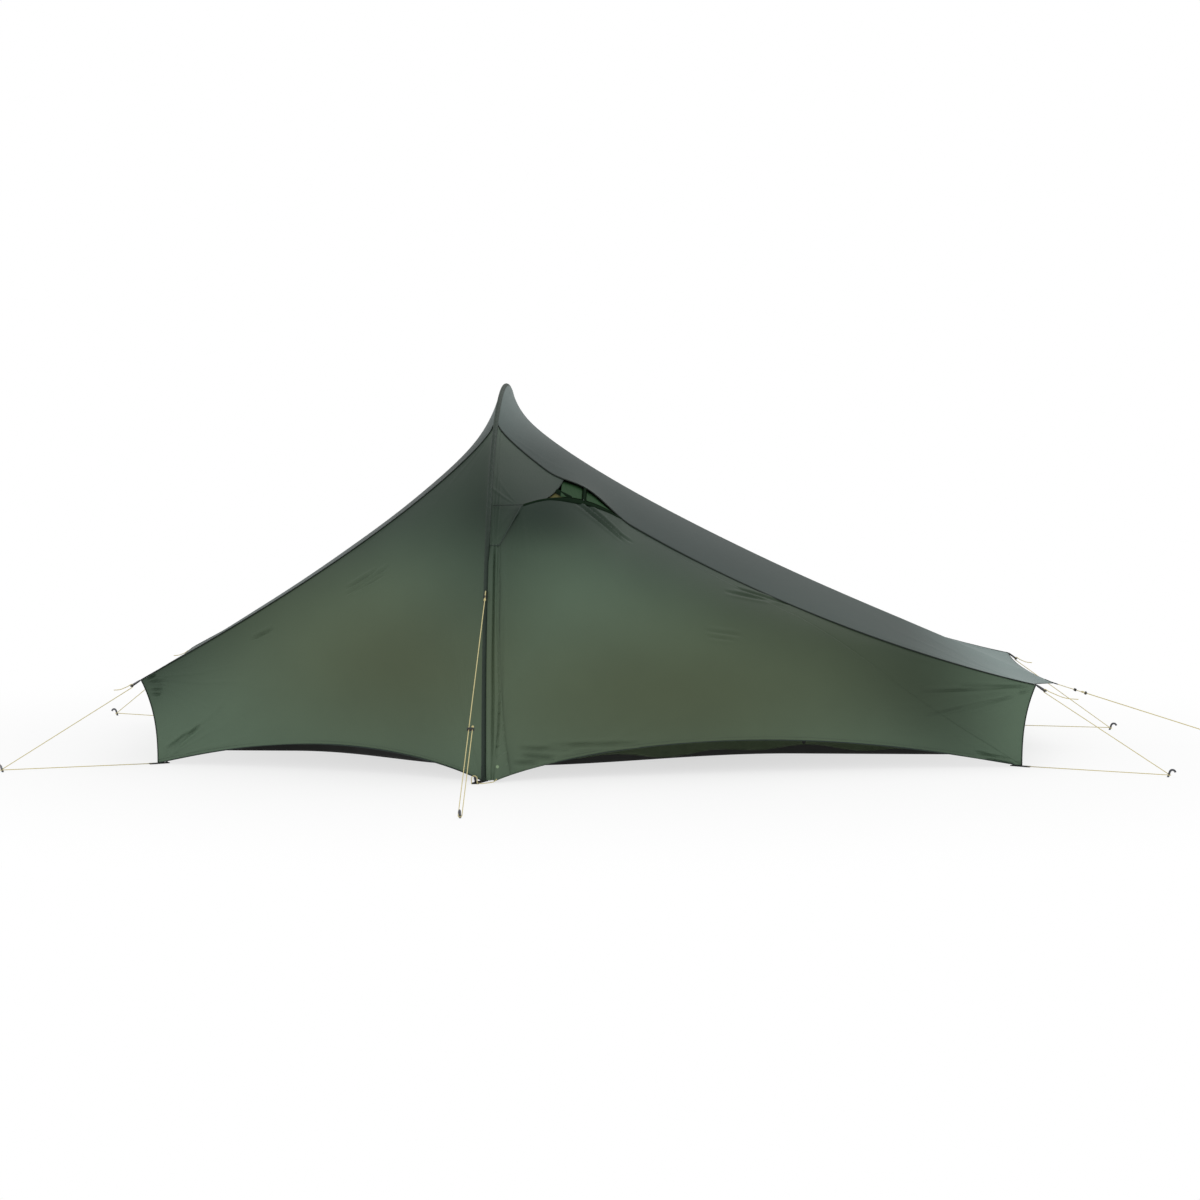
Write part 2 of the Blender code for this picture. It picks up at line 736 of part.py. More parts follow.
def build_inner_tent(finishes):
    before = [mix(-FLOOR_LEFT, 0, t) for t in steps(6)]
    beside = [mix(INNER_DOOR_START, INNER_DOOR_STOP, t) for t in steps(3)]
    after = [mix(INNER_DOOR_STOP, FLOOR_RIGHT, t) for t in steps(5)]
    stations = before + beside + after[1:]
    turns = steps(14)
    cloth_panel("floor_tub", floor_tub_grid(stations), finishes["groundsheet"],
                thickness=TUB_CLOTH, offset=1.0)
    grid = inner_canopy_grid(stations, turns)
    middle = stations.index(0.0) + 1
    left = [[point.copy() for point in row[:middle + 1]] for row in grid]
    right = [[point.copy() for point in row[middle:]] for row in grid]
    for row in left:
        row[-1].x -= GAP
    for row in right:
        row[0].x += GAP
    cloth_panel("inner_canopy_left", left, finishes["inner"])

    first = stations.index(INNER_DOOR_START) + 1 - middle
    last = first + len(beside) - 1
    low, high = 1, 5
    doorway = [(i, j) for i in range(first, last) for j in range(low, high)]
    cloth_panel("inner_canopy_right", right, finishes["inner"], holes=doorway)
    door = [[right[j][i].copy() for i in range(first, last + 1)] for j in range(low, high + 1)]
    door = inset(door, INNER_DOOR_GAP)
    panel = cloth_panel("inner_door", door, finishes["inner_door"])
    hang_on_axis(panel, mix(door[0][0], door[0][-1], 0.5))


def inset(grid, distance):
    """The same sheet with its four edges drawn in."""
    rows, columns = len(grid), len(grid[0])
    copy = [[p.copy() for p in row] for row in grid]
    for j in range(rows):
        for i in range(columns):
            if i == 0:
                copy[j][i] += (grid[j][1] - grid[j][0]).normalized() * distance
            if i == columns - 1:
                copy[j][i] += (grid[j][-2] - grid[j][-1]).normalized() * distance
            if j == 0:
                copy[j][i] += (grid[1][i] - grid[0][i]).normalized() * distance
            if j == rows - 1:
                copy[j][i] += (grid[-2][i] - grid[-1][i]).normalized() * distance
    return copy


# Fly

def build_fly(finishes):
    green = finishes["fly"]
    across = [mix(-1, 1, t) for t in steps(10)]
    left_stations = steps(11, 1.5)
    hood_s, vent_s = station_of(RIGHT, HOOD_REACH), station_of(RIGHT, VENT_REACH)
    hood_stations = [hood_s * t for t in steps(4, 1.4)]
    vent_stations = [mix(hood_s, vent_s, t) for t in steps(4)]
    fold_stations = [mix(vent_s, 1.0, t) for t in steps(8)]
    right_stations = hood_stations + vent_stations[1:] + fold_stations[1:]

    for name, end, stations in (("roof_panel_left", LEFT, left_stations),
                                ("roof_panel_right", RIGHT, right_stations)):
        grid = [[roof(end, s, v) for s in stations] for v in across]
        cloth_panel(name, grid, finishes["roof"])
    cloth_panel("front_wall_left", wall_grid(LEFT, FRONT, left_stations, 8), green)
    cloth_panel("rear_wall_left", wall_grid(LEFT, REAR, left_stations, 8), green)
    cloth_panel("rear_wall_right", wall_grid(RIGHT, REAR, right_stations, 8), green)
    cloth_panel("front_wall_right", fixed_wall_grid(fold_stations, 4), green)
    door = door_grid(12, 8, 2)
    panel = cloth_panel("door_panel", door, green)
    high, low = fold_line()
    hang_on_axis(panel, mix(high, low, 0.5))
    cloth_panel("vent_hood", hood_grid(hood_stations, 5), green)
    cloth_panel("end_wall_left", end_wall_grid(LEFT, 8, 4), green)
    cloth_panel("end_wall_right", end_wall_grid(RIGHT, 8, 4), green)
    return door


# Pole, sleeve and zip

def pole_section_lengths(index):
    """Arc lengths of a section's points, from its socket end to its insert's tip."""
    length = 2 * HALF_POLE / POLE_SECTIONS
    start = index * length
    middle = [mix(start + INSERT_LENGTH, start + length, t) for t in steps(5)]
    points = [start] + middle[:-1]
    if index < POLE_SECTIONS - 1:
        points += [start + length - POLE_WALL, start + length, start + length + INSERT_LENGTH]
    return points, start + length


def build_pole(finishes):
    foot = STRAP_THICKNESS + GAP
    total = 2 * HALF_POLE
    cord_stops = []
    for index in range(POLE_SECTIONS):
        lengths, stop = pole_section_lengths(index)
        radii = [POLE_RADIUS] * len(lengths)
        if index == 0:
            lengths[0] = foot + TIP_LENGTH
            radii[0] = POLE_RADIUS
            lengths = [foot, foot + TIP_LENGTH - POLE_WALL] + lengths
            radii = [TIP_RADIUS, TIP_RADIUS] + radii
        if index < POLE_SECTIONS - 1:
            radii[-2:] = [INSERT_RADIUS, INSERT_RADIUS]
        else:
            tip = total - foot
            lengths += [tip - TIP_LENGTH, tip - TIP_LENGTH + POLE_WALL, tip]
            radii += [POLE_RADIUS, TIP_RADIUS, TIP_RADIUS]
        points = [hoop_point(length) for length in lengths]
        section = tube(f"pole_section_{index + 1}", points, radii, finishes["pole"], caps=False)
        wall = section.modifiers.new("tube wall", "SOLIDIFY")
        wall.thickness = POLE_WALL
        wall.offset = -1.0
        cord_stops += lengths
    inside = sorted(set(round(length, 5) for length in cord_stops))
    kept = [inside[0]]
    for length in inside[1:]:
        if length - kept[-1] > 2 * POLE_WALL:
            kept.append(length)
    tube("pole_shock_cord", [hoop_point(length) for length in kept], SHOCK_CORD_RADIUS,
         finishes["shock_cord"], bevel_resolution=1)
    low, high = SLEEVE_END, total - SLEEVE_END
    rings = [low]
    for length in kept:
        if rings[-1] + POLE_RADIUS < length < high - POLE_RADIUS:
            rings.append(length)
    rings.append(high)
    sleeve = tube("pole_sleeve", [hoop_point(length) for length in rings], SLEEVE_RADIUS,
                  finishes["sleeve"], caps=False)
    wall = sleeve.modifiers.new("sleeve cloth", "SOLIDIFY")
    wall.thickness = CLOTH
    wall.offset = -1.0


def build_zip(finishes):
    low, high = ZIP_TAPE_ENDS[0], hoop_length_at(ZIP_TOP_HEIGHT) - ZIP_TAPE_ENDS[1]
    columns = [hoop_zip_edge(x, low, high, 20)
               for x in (HOOP_EDGE, HOOP_EDGE + ZIP_TAPE_WIDTH)]
    grid = [[column[j] for column in columns] for j in range(21)]
    cloth_panel("door_zip_tape", grid, finishes["zip"], thickness=ZIP_TAPE_THICKNESS)

    at = hoop_length_at(SLIDER_HEIGHT)
    place = hoop_point(at, HOOP_EDGE + ZIP_TAPE_WIDTH / 2)
    up = (hoop_point(at + SLIDER_LENGTH) - hoop_point(at - SLIDER_LENGTH)).normalized()
    outward = Vector((0, -1, 0)) - up * Vector((0, -1, 0)).dot(up)
    outward.normalize()
    lift = ZIP_TAPE_THICKNESS / 2 + 2 * GAP + SLIDER_THICKNESS / 2
    half, pull, neck = SLIDER_WIDTH / 2, SLIDER_PULL_WIDTH / 2, SLIDER_NECK / 2
    top, bottom = SLIDER_LENGTH / 3, -2 * SLIDER_LENGTH / 3
    chamfer = SLIDER_WIDTH / 5
    hang = bottom - 2 * neck
    end = hang - SLIDER_PULL_LENGTH
    outline = mirrored([
        (half - chamfer, top), (half, top - chamfer), (half, bottom + chamfer),
        (half - chamfer, bottom), (neck, bottom), (neck, hang),
        (pull, hang - neck), (pull, end + chamfer), (pull - chamfer, end),
    ])
    matrix = axes_matrix(place + outward * lift, up.cross(outward), outward)
    slider = flat_plate("door_zip_slider", [outline], SLIDER_THICKNESS, finishes["metal"], matrix)
    hang_on_axis(slider, Vector((0, -LEG_CENTRE, 0)))


# Small fittings on the front

def build_vent_prop(finishes, door):
    """Rod from the roof's edge to the door's upper edge; it folds inwards."""
    s = station_of(RIGHT, PROP_REACH)
    top = roof(RIGHT, s, -1.0) + Vector((0, PROP_SEAT, -PROP_HEADROOM))
    edge = door[-1]
    for low, high in zip(edge, edge[1:]):
        if low.x <= top.x <= high.x:
            foot = mix(low, high, (top.x - low.x) / (high.x - low.x))
    along = (top - foot).normalized()
    foot = foot + along * (PROP_RADIUS + CLOTH / 2 + GAP)
    prop = tube("vent_prop", [top, foot], PROP_RADIUS, finishes["strut"])
    hang_on_axis(prop, top)


def build_door_toggle(finishes):
    """Toggle on the seam that holds the rolled door."""
    s = station_of(RIGHT, TOGGLE_REACH)
    place = seam(RIGHT, FRONT, s)
    along = (seam(RIGHT, FRONT, s + 0.01) - place).normalized()
    high, low = fold_line()
    down = mix(high, low, s) - place
    down = (down - along * down.dot(along)).normalized()
    outward = along.cross(down)
    if outward.y > 0:
        outward = -outward
    centre = place + down * TOGGLE_DROP + outward * (TOGGLE_RADIUS + CLOTH / 2 + GAP)
    ends = [centre - along * TOGGLE_LENGTH / 2, centre + along * TOGGLE_LENGTH / 2]
    tube("door_toggle", ends, TOGGLE_RADIUS, finishes["plastic"])


# Guylines, line locks, feet and pegs

def peg_axis(away):
    return (away * math.sin(PEG_LEAN) + Vector((0, 0, math.cos(PEG_LEAN)))).normalized()


def peg_curve():
    """Hook peg along its own Z axis from its point, the hook bent towards its own X axis."""
    data = bpy.data.curves.new("hook_peg", "CURVE")
    data.dimensions = "3D"
    data.bevel_depth = 1.0
    data.bevel_resolution = 2
    data.use_fill_caps = True
    route = [(0, -PEG_DEPTH, PEG_RADIUS / 3), (0, PEG_POINT - PEG_DEPTH, PEG_RADIUS),
             (0, 0, PEG_RADIUS)]
    for turned in steps(PEG_HOOK_STEPS):
        angle = PEG_HOOK_TURN * turned
        route.append((PEG_HOOK * (1 - math.cos(angle)), PEG_NECK + PEG_HOOK * math.sin(angle),
                      PEG_RADIUS))
    spline = data.splines.new("POLY")
    spline.points.add(len(route) - 1)
    for point, (x, z, radius) in zip(spline.points, route):
        point.co = (x, 0, z, 1)
        point.radius = radius
    return data


def build_peg(name, data, place, away, finishes):
    peg = link(name, data, finishes["peg"])
    axis = peg_axis(away)
    side = axis.cross(away).normalized()
    turn = Matrix((side.cross(axis), side, axis)).transposed()
    peg.matrix_world = Matrix.Translation(place) @ turn.to_4x4()


def cord_turn_centre(place, away):
    """Middle of the peg's shaft at the height where the cord goes round it."""
    axis = peg_axis(away)
    return place + axis * (PEG_CORD_HEIGHT / axis.z)


def ring_plate(name, centre, across, direction, size, slot, finish):
    """Small plate square to a cord, with a slot that the cord runs through."""
    width, height, thickness = size
    outer = rounded_box(-width / 2, width / 2, -height / 2, height / 2, height / 3)
    half = slot / 2
    reach = CORD_RADIUS + 2 * GAP
    inner = rounded_box(-half, half, -reach, reach, reach * 0.8)
    matrix = axes_matrix(centre, across, direction)
    return flat_plate(name, [outer, inner], thickness, finish, matrix)


def build_line(name, start, place, lock_at, finishes, peg_data):
    """Guyline in one fall from the fly to a peg, doubled below its sliding lock."""
    away = Vector((place.x - start.x, place.y - start.y, 0)).normalized()
    turn = cord_turn_centre(place, away)
    down = (turn - start).normalized()
    side = down.cross(Vector((0, 0, 1))).normalized()
    at_peg = turn + side * CORD_TURN
    down = (at_peg - start).normalized()
    lock = start + down * lock_at
    route = [start, mix(start, lock, 0.5), lock, mix(lock, at_peg, 0.5)]
    route += half_turn(turn, side, down, CORD_TURN)
    back = -side * 2 * CORD_TURN
    route += [mix(lock, at_peg, 0.5) + back, lock + back,
              lock + back - down * KNOT_REACH]
    tube(name + "_guyline", route, CORD_RADIUS, finishes["cord"])
    centre = lock + back / 2
    size = (LOCK_RING_WIDTH, LOCK_RING_HEIGHT, LOCK_RING_THICKNESS)
    ring = ring_plate(name + "_lock", centre, side, down, size, LOCK_RING_SLOT,
                      finishes["plastic"])
    hang_on_axis(ring, centre)
    build_peg(name + "_peg", peg_data, place, away, finishes)
    return down, side


def build_corner(name, end, side, peg_place, tail, finishes, peg_data):
    """Strut, webbing foot, line lock, guyline and peg of one corner."""
    top = roof(end, 1.0, side)
    bottom = hem(end, side, 1.0)
    place = Vector((*peg_place, 0))
    away = Vector((place.x - bottom.x, place.y - bottom.y, 0)).normalized()
    turn = cord_turn_centre(place, away)
    inset_x, inset_y = STRUT_INSET
    inward = Vector((-end.sign * inset_x, -side * inset_y, 0))

    # Strut between the webbing foot and the roof
    low = bottom + inward
    low.z = FOOT_LEVEL + FOOT_THICKNESS + STRUT_RADIUS / 4 + GAP
    lift = roof(end, 1.0, side) + inward
    s = (abs(lift.x) - HOOP_EDGE) / (end.reach(side) - HOOP_EDGE)
    v = lift.y / mix(ROOF_HALF_WIDTH, end.half_width, s)
    high = Vector((lift.x, lift.y, roof(end, s, v).z - STRUT_HEADROOM))
    tube(name + "_strut", [low, high], STRUT_RADIUS, finishes["strut"])

    # Webbing foot under the corner, notched for the guyline's sewn end
    corner = Vector((bottom.x, bottom.y))
    plan_away = Vector((away.x, away.y))
    strut = Vector((low.x, low.y))
    back = (strut - corner).normalized()
    path = [strut + back * STRUT_RADIUS * 2, strut, corner + plan_away * FOOT_REACH / 3,
            corner + plan_away * FOOT_REACH]
    outline = ribbon(path, FOOT_WIDTH, FOOT_NOTCH, CORD_DIAMETER + 3 * GAP)
    matrix = Matrix.Translation((0, 0, FOOT_LEVEL + FOOT_THICKNESS / 2))
    flat_plate(name + "_foot", [outline], FOOT_THICKNESS, finishes["webbing"], matrix)

    # Line lock on webbing at the fly's upper corner
    pull = (turn - top).normalized()
    rise = (Vector((0, 0, 1)) - pull * pull.z).normalized()
    bar = top + pull * LOCK_LENGTH
    half, web = LOCK_WIDTH / 2, LOCK_WEBBING_WIDTH / 2
    inner = -LOCK_LENGTH + SEAM_TUCK
    body = inner + LOCK_WEBBING_LENGTH
    outer = LOCK_BAR / 2
    chamfer = SEAM_TUCK
    along_y = mirrored([
        (chamfer, inner), (web, inner + web * 1.4), (web, body),
        (half, body + chamfer), (half, outer - chamfer), (half - chamfer, outer),
    ])
    reach = CORD_RADIUS + 2 * GAP
    slot = rounded_box(-reach, reach, -outer - LOCK_SLOT, -outer, reach * 0.8)
    matrix = axes_matrix(bar, pull.cross(rise), rise)
    flat_plate(name + "_lock", [along_y, slot], LOCK_THICKNESS, finishes["plastic"], matrix)

    # Guyline: from the foot round the peg, up to the lock, round its bar and out as a tail
    start = bottom + away * (FOOT_REACH - FOOT_NOTCH + 2 * GAP)
    start.z = FOOT_LEVEL + FOOT_THICKNESS / 2 + GAP
    strand = (turn - start).normalized()
    out = (strand + pull).normalized()
    across = out.cross(Vector((0, 0, 1))).normalized()
    if across.y * side < 0:
        across = -across
    low_turn = half_turn(turn, across, out, CORD_TURN)
    high_turn = half_turn(bar, -rise, -pull, CORD_TURN)
    leave = high_turn[-1] + pull * LOCK_BAR * 2
    level = Vector((end.sign, 0, 0))
    droop = Vector((0, 0, TAIL_DROOP * tail))
    loose = smooth_curve([
        leave,
        leave + level * tail * 0.5 - droop * 0.8,
        leave + level * tail * 0.95 - droop,
    ], 3)
    route = [start, mix(start, low_turn[0], 0.5)] + low_turn
    route += [mix(low_turn[-1], high_turn[0], 0.5)] + high_turn + loose
    tube(name + "_guyline", route, CORD_RADIUS, finishes["cord"])
    build_peg(name + "_peg", peg_data, place, away, finishes)


def build_hoop_foot(name, side, finishes, peg_data):
    """Strap from the floor to the hoop's foot, with the peg that holds it."""
    away = Vector((0, side, 0))
    place = Vector((FOOT_PEG_SHIFT, side * (HOOP_HALF_SPAN + FOOT_PEG_BEYOND_HOOP), 0))
    start = Vector((0, side * (floor_half_width(0) + 2 * GAP)))
    foot = Vector((0, side * (HOOP_HALF_SPAN - STRAP_END)))
    peg = Vector((place.x, place.y))
    path = [start, foot, mix(foot, peg, 0.5), peg, peg + Vector((0, side * STRAP_END))]
    outline = ribbon(path, STRAP_WIDTH)
    matrix = Matrix.Translation((0, 0, STRAP_THICKNESS / 2))
    hole = circle(peg.x, peg.y, STRAP_HOLE)
    flat_plate("foot_strap_" + name, [outline, hole], STRAP_THICKNESS, finishes["webbing"], matrix)
    build_peg("foot_peg_" + name, peg_data, place, away, finishes)


def build_guylines(finishes):
    peg_data = peg_curve()
    corners = (
        ("left_front", LEFT, FRONT, LEFT_FRONT_PEG, SHORT_TAIL),
        ("left_rear", LEFT, REAR, LEFT_REAR_PEG, SHORT_TAIL),
        ("right_front", RIGHT, FRONT, RIGHT_FRONT_PEG, LONG_TAIL),
        ("right_rear", RIGHT, REAR, RIGHT_REAR_PEG, SHORT_TAIL),
    )
    for name, end, side, place, tail in corners:
        build_corner(name, end, side, place, tail, finishes, peg_data)
    for name, side in (("front", FRONT), ("rear", REAR)):
        build_hoop_foot(name, side, finishes, peg_data)
        tie = hoop_point(hoop_length_at(HOOP_GUY_HEIGHT), 0.0, side)
        outward = (tie - Vector((0, side * LEG_CENTRE, 0))).normalized()
        start = tie + outward * (SLEEVE_RADIUS + CORD_RADIUS)
        place = Vector((HOOP_PEG_SHIFT, side * HOOP_PEG_REACH, 0))
        build_line(name, start, place, HOOP_LOCK_AT, finishes, peg_data)
    tip = roof(RIGHT, 1.0, 0.0)
    start = tip + Vector((2 * GAP, 0, 0))
    place = Vector((END_PEG_REACH, 0, 0))
    down, side = build_line("end", start, place, END_LOCK_AT, finishes, peg_data)
    at_peg = cord_turn_centre(place, Vector((1, 0, 0))) + side * CORD_TURN
    centre = start + (at_peg - start).normalized() * END_TOGGLE_AT
    size = (GUY_TOGGLE_WIDTH, GUY_TOGGLE_HEIGHT, GUY_TOGGLE_THICKNESS)
    ring_plate("end_guy_toggle", centre, side, down, size, 2 * (CORD_RADIUS + 2 * GAP),
               finishes["plastic"])


def main():
    clear_scene()
    collection = bpy.data.collections.new("backpacking_tent")
    bpy.context.scene.collection.children.link(collection)
    finishes = {
        "fly": ((0.080, 0.108, 0.070), 0.55, 0.0),
        "roof": ((0.085, 0.115, 0.095), 0.45, 0.0),
        "sleeve": ((0.060, 0.085, 0.060), 0.60, 0.0),
        "zip": ((0.030, 0.045, 0.030), 0.70, 0.0),
        "metal": ((0.020, 0.020, 0.020), 0.40, 0.6),
        "groundsheet": ((0.012, 0.014, 0.012), 0.55, 0.0),
        "inner": ((0.300, 0.240, 0.090), 0.70, 0.0),
        "inner_door": ((0.280, 0.220, 0.080), 0.70, 0.0),
        "pole": ((0.500, 0.510, 0.520), 0.30, 1.0),
        "shock_cord": ((0.050, 0.050, 0.050), 0.80, 0.0),
        "strut": ((0.020, 0.020, 0.022), 0.40, 0.0),
        "webbing": ((0.015, 0.015, 0.015), 0.80, 0.0),
        "plastic": ((0.012, 0.012, 0.012), 0.35, 0.0),
        "cord": ((0.730, 0.620, 0.250), 0.70, 0.0),
        "peg": ((0.180, 0.180, 0.185), 0.35, 1.0),
    }
    door = build_fly(finishes)
    build_inner_tent(finishes)
    build_pole(finishes)
    build_zip(finishes)
    build_vent_prop(finishes, door)
    build_door_toggle(finishes)
    build_guylines(finishes)


main()
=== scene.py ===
"""Looks of the pitched backpacking tent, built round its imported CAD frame.

It is laid out as an add-on and run as a script: each operator makes one group of pieces.
Metres, +Z up. The hoop stands in the plane X = 0 and the door faces -Y.
"""

import dataclasses
import functools
import math

import bpy
import numpy as np
from mathutils import Matrix, Vector


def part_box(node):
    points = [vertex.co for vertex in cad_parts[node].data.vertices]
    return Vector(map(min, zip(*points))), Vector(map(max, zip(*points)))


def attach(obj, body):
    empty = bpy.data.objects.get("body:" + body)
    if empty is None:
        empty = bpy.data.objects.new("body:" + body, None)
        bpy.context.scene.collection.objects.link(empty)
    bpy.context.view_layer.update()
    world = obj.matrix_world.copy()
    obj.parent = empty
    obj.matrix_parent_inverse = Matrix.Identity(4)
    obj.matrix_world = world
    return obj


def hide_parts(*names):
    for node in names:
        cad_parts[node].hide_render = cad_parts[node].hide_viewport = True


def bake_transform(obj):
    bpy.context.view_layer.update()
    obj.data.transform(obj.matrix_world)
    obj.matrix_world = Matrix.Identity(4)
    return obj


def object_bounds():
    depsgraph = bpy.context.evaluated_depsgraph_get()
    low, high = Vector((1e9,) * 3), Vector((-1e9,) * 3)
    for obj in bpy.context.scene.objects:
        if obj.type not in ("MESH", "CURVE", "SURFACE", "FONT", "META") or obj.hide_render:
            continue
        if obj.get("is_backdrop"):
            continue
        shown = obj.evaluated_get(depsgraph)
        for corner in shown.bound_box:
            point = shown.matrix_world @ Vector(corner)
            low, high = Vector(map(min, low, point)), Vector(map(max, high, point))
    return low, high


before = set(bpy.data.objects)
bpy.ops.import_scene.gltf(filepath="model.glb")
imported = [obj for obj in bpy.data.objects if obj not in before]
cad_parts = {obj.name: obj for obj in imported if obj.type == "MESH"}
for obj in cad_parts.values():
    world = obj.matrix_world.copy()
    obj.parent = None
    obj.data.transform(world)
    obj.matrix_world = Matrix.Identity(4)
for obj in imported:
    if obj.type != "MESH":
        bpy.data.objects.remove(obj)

bl_info = {
    "name": "Backpacking tent finish",
    "version": (1, 0, 0),
    "blender": (4, 5, 0),
    "location": "3D View > Sidebar > Tent",
    "description": "Cloth, cords, trim and finishes for a pitched single-hoop tent",
    "category": "Object",
}

# Sizes shared with the frame

CLOTH = 0.0007
GAP = 0.0003
SEAM_TUCK = 0.0010
CORNER_TUCK = 0.0014
HOOP_HALF_SPAN = 0.810
HOOP_TOP = 1.059
CROWN_ROUNDNESS = 0.926
SLEEVE_RADIUS = 0.0058
SLEEVE_END = 0.030
SLEEVE_LOOSE = 0.0008
ROOF_HALF_WIDTH = 0.400
SAG_SHARPNESS = 1.65
AWNING_DROP = 0.045
AWNING_CURVE = 2.0
CORNER_FLARE = 2.6
END_WALL_BOW = 0.030
END_WALL_DROP = 0.003
HEM_LIFT = 0.004
HEM_BOW = 0.055
HEM_PEAK_AT = 0.46
END_HEM_RISE = 0.030
ZIP_TAPE_WIDTH = 0.024
ZIP_TOP_HEIGHT = 0.632
DOOR_PEAK = (0.087, -0.590, 0.728)
DOOR_TOP_RISE = 0.037
DOOR_PEAK_SAG = 0.004
DOOR_CORNER_TUCK = 0.002
DOOR_FLARE = 3.0
DOOR_ZIP_FADE = 12
FOLD_SOFTNESS = 0.08
FOLD_BAND = (-0.010, 0.070)
HOOD_REACH = 0.190
HOOD_OVER_ZIP = 0.012
HOOD_STAND_OFF = 0.0045
HOOD_TIP_OFFSET = (-0.001, -0.005, -0.001)
HOOD_EDGE_LIFT = (0.0, -0.004, 0.0)
HOOD_MOUTH_BELLY = (0.010, -0.014, -0.017)
VENT_REACH = 0.352
VENT_LIFT = 0.027
VENT_WAVE_MARGINS = (0.050, 0.030)
FLOOR_HALF_WIDTH_HOOP = 0.510
FLOOR_HALF_WIDTH_END = 0.220
FLOOR_LEFT = 0.850
FLOOR_RIGHT = 1.360
FLOOR_LEFT_TAPER = 0.600
FLOOR_RIGHT_TAPER = 0.850
TUB_HEIGHT = 0.070
TUB_FLARE = 0.020
TUB_CLOTH = 0.0012
INNER_CLEARANCE = 0.055
INNER_CROWN = 0.040
INNER_WALL_STEEPNESS = 0.75
INNER_TOP_FULLNESS = 0.9
INNER_DOOR_START = 0.050
INNER_DOOR_STOP = 0.460
INNER_DOOR_ROWS = (8, 40)
FOOT_THICKNESS = 0.0020
FOOT_LEVEL = 0.0010
FOOT_REACH = 0.024
FOOT_NOTCH = 0.010
LOCK_LENGTH = 0.031
LOCK_BAR = 0.0052
CORD_DIAMETER = 0.0022
CORD_TURN = 0.0046
HOOP_PEG_REACH = 1.408
HOOP_PEG_SHIFT = -0.006
END_PEG_REACH = 2.180
HOOP_GUY_HEIGHT = 0.500
HOOP_LOCK_AT = 0.535
END_LOCK_AT = 0.098
KNOT_REACH = 0.010
SHORT_TAIL = 0.040
LONG_TAIL = 0.085
TAIL_DROOP = 0.25
CORD_RADIUS = CORD_DIAMETER / 2
PEG_CORD_HEIGHT = 0.006
PEG_LEAN = math.radians(18)

FRONT, REAR = -1, 1
V_EDGE = 1 - SEAM_TUCK / ROOF_HALF_WIDTH
HOOP_EDGE = SLEEVE_RADIUS + CLOTH / 2 + GAP
ZIP_EDGE = HOOP_EDGE + ZIP_TAPE_WIDTH + GAP

# Sizes of the scene's own pieces

LOOP_AT = 0.011
LOOP_RADIUS = 0.0052
LOOP_STRETCH = 2.1
LOOP_KNOT_AT = 0.034
RING_AT = 0.0235
RING_RADIUS = 0.0040
RING_SECTION = 0.0014
HEM_WIDTH = 0.0036
HEM_HEIGHT = 0.0011
PANEL_THICKNESS = 0.0003
LINING_THICKNESS = 0.0004
TAPE_THICKNESS = 0.0008
GROUNDSHEET_THICKNESS = 0.0008
SKIRT_START = 0.10
SKIRT_LOW = 0.016
FLAP_START = 0.006
FLAP_TOP_GAP = 0.008
SNAP_HEIGHT = 0.034
SNAP_RADIUS = 0.0036
TAPE_START = 0.008
TAPE_TOP_GAP = 0.002
TOOTH_LENGTH = 0.0050
TOOTH_THICKNESS = 0.0012
STITCH_LENGTH = 0.0036
STITCH_THICKNESS = 0.0006
STITCH_INSET = 0.008

UP = Vector((0, 0, 1))
WHITE = (1.0, 1.0, 1.0, 1.0)
FLOOR_EXTENT = 30.0
FLOOR_LEVEL = -0.0006
CAMERA_PLACE = (0.5762, -7.3855, 0.9726)
CAMERA_TURN = (math.radians(90 - 4.232), 0.0, math.radians(2.33))

# Share of a sheet's creases that reaches its (left, right, bottom, top) edges
SEWN = (0, 0, 0, 0)
HEMMED = (0, 0, 1, 0)

WALL_CLOTH = "Coated ripstop nylon, walls"
INNER_CLOTH = "Breathable nylon, inner tent"
BRAID = "Braided polyester cord"
WEBBING = "Woven polyester webbing"
VENT_TAPE_AND_SHADE = "Brushed polyester tape, vent"
SEAM_BINDING = "Grosgrain binding, seams"
FLY_HEM = "Rolled hem, fly"
THREAD = "Bonded polyester thread"
FLOOR_PAPER = "Matt white paper, floor"

# Places of pinched creases on a wall: (across, up) of one end, then of the other, as shares
LEFT_CORNER_LINES = (
    (1.0, 0.967, 0.950, 0.858), (0.995, 0.921, 0.955, 0.825), (0.998, 0.875, 0.960, 0.792),
    (0.998, 0.825, 0.970, 0.754), (0.998, 0.983, 0.965, 0.979), (0.972, 0.088, 0.880, 0.283),
    (0.975, 0.125, 0.912, 0.254),
)
LEFT_WALL_LINES = (
    (0.468, 0.733, 0.342, 0.746), (0.450, 0.721, 0.355, 0.725), (0.465, 0.762, 0.378, 0.767),
    (0.732, 0.800, 0.668, 0.783),
)
VENT_LINES = ((0.182, 0.904, 0.305, 0.896), (0.180, 0.879, 0.288, 0.875))
RIGHT_CORNER_LINES = (
    (0.998, 0.979, 0.820, 0.575), (1.0, 0.950, 0.978, 0.854), (0.982, 0.846, 0.858, 0.371),
    (0.970, 0.812, 0.835, 0.350), (0.992, 0.975, 0.885, 0.762), (0.988, 0.004, 0.938, 0.017),
    (0.982, 0.050, 0.920, 0.067),
)
RIGHT_SEAM_LINES = (
    (0.478, 0.862, 0.565, 0.962), (0.495, 0.929, 0.590, 1.0), (0.445, 0.575, 0.512, 0.612),
    (0.448, 0.550, 0.500, 0.575),
)
RIGHT_HEM_LINES = (
    (0.130, 0.060, 0.330, 0.015), (0.075, 0.068, 0.200, 0.023), (0.084, 0.045, 0.166, 0.010),
    (0.064, 0.030, 0.125, 0.011),
)


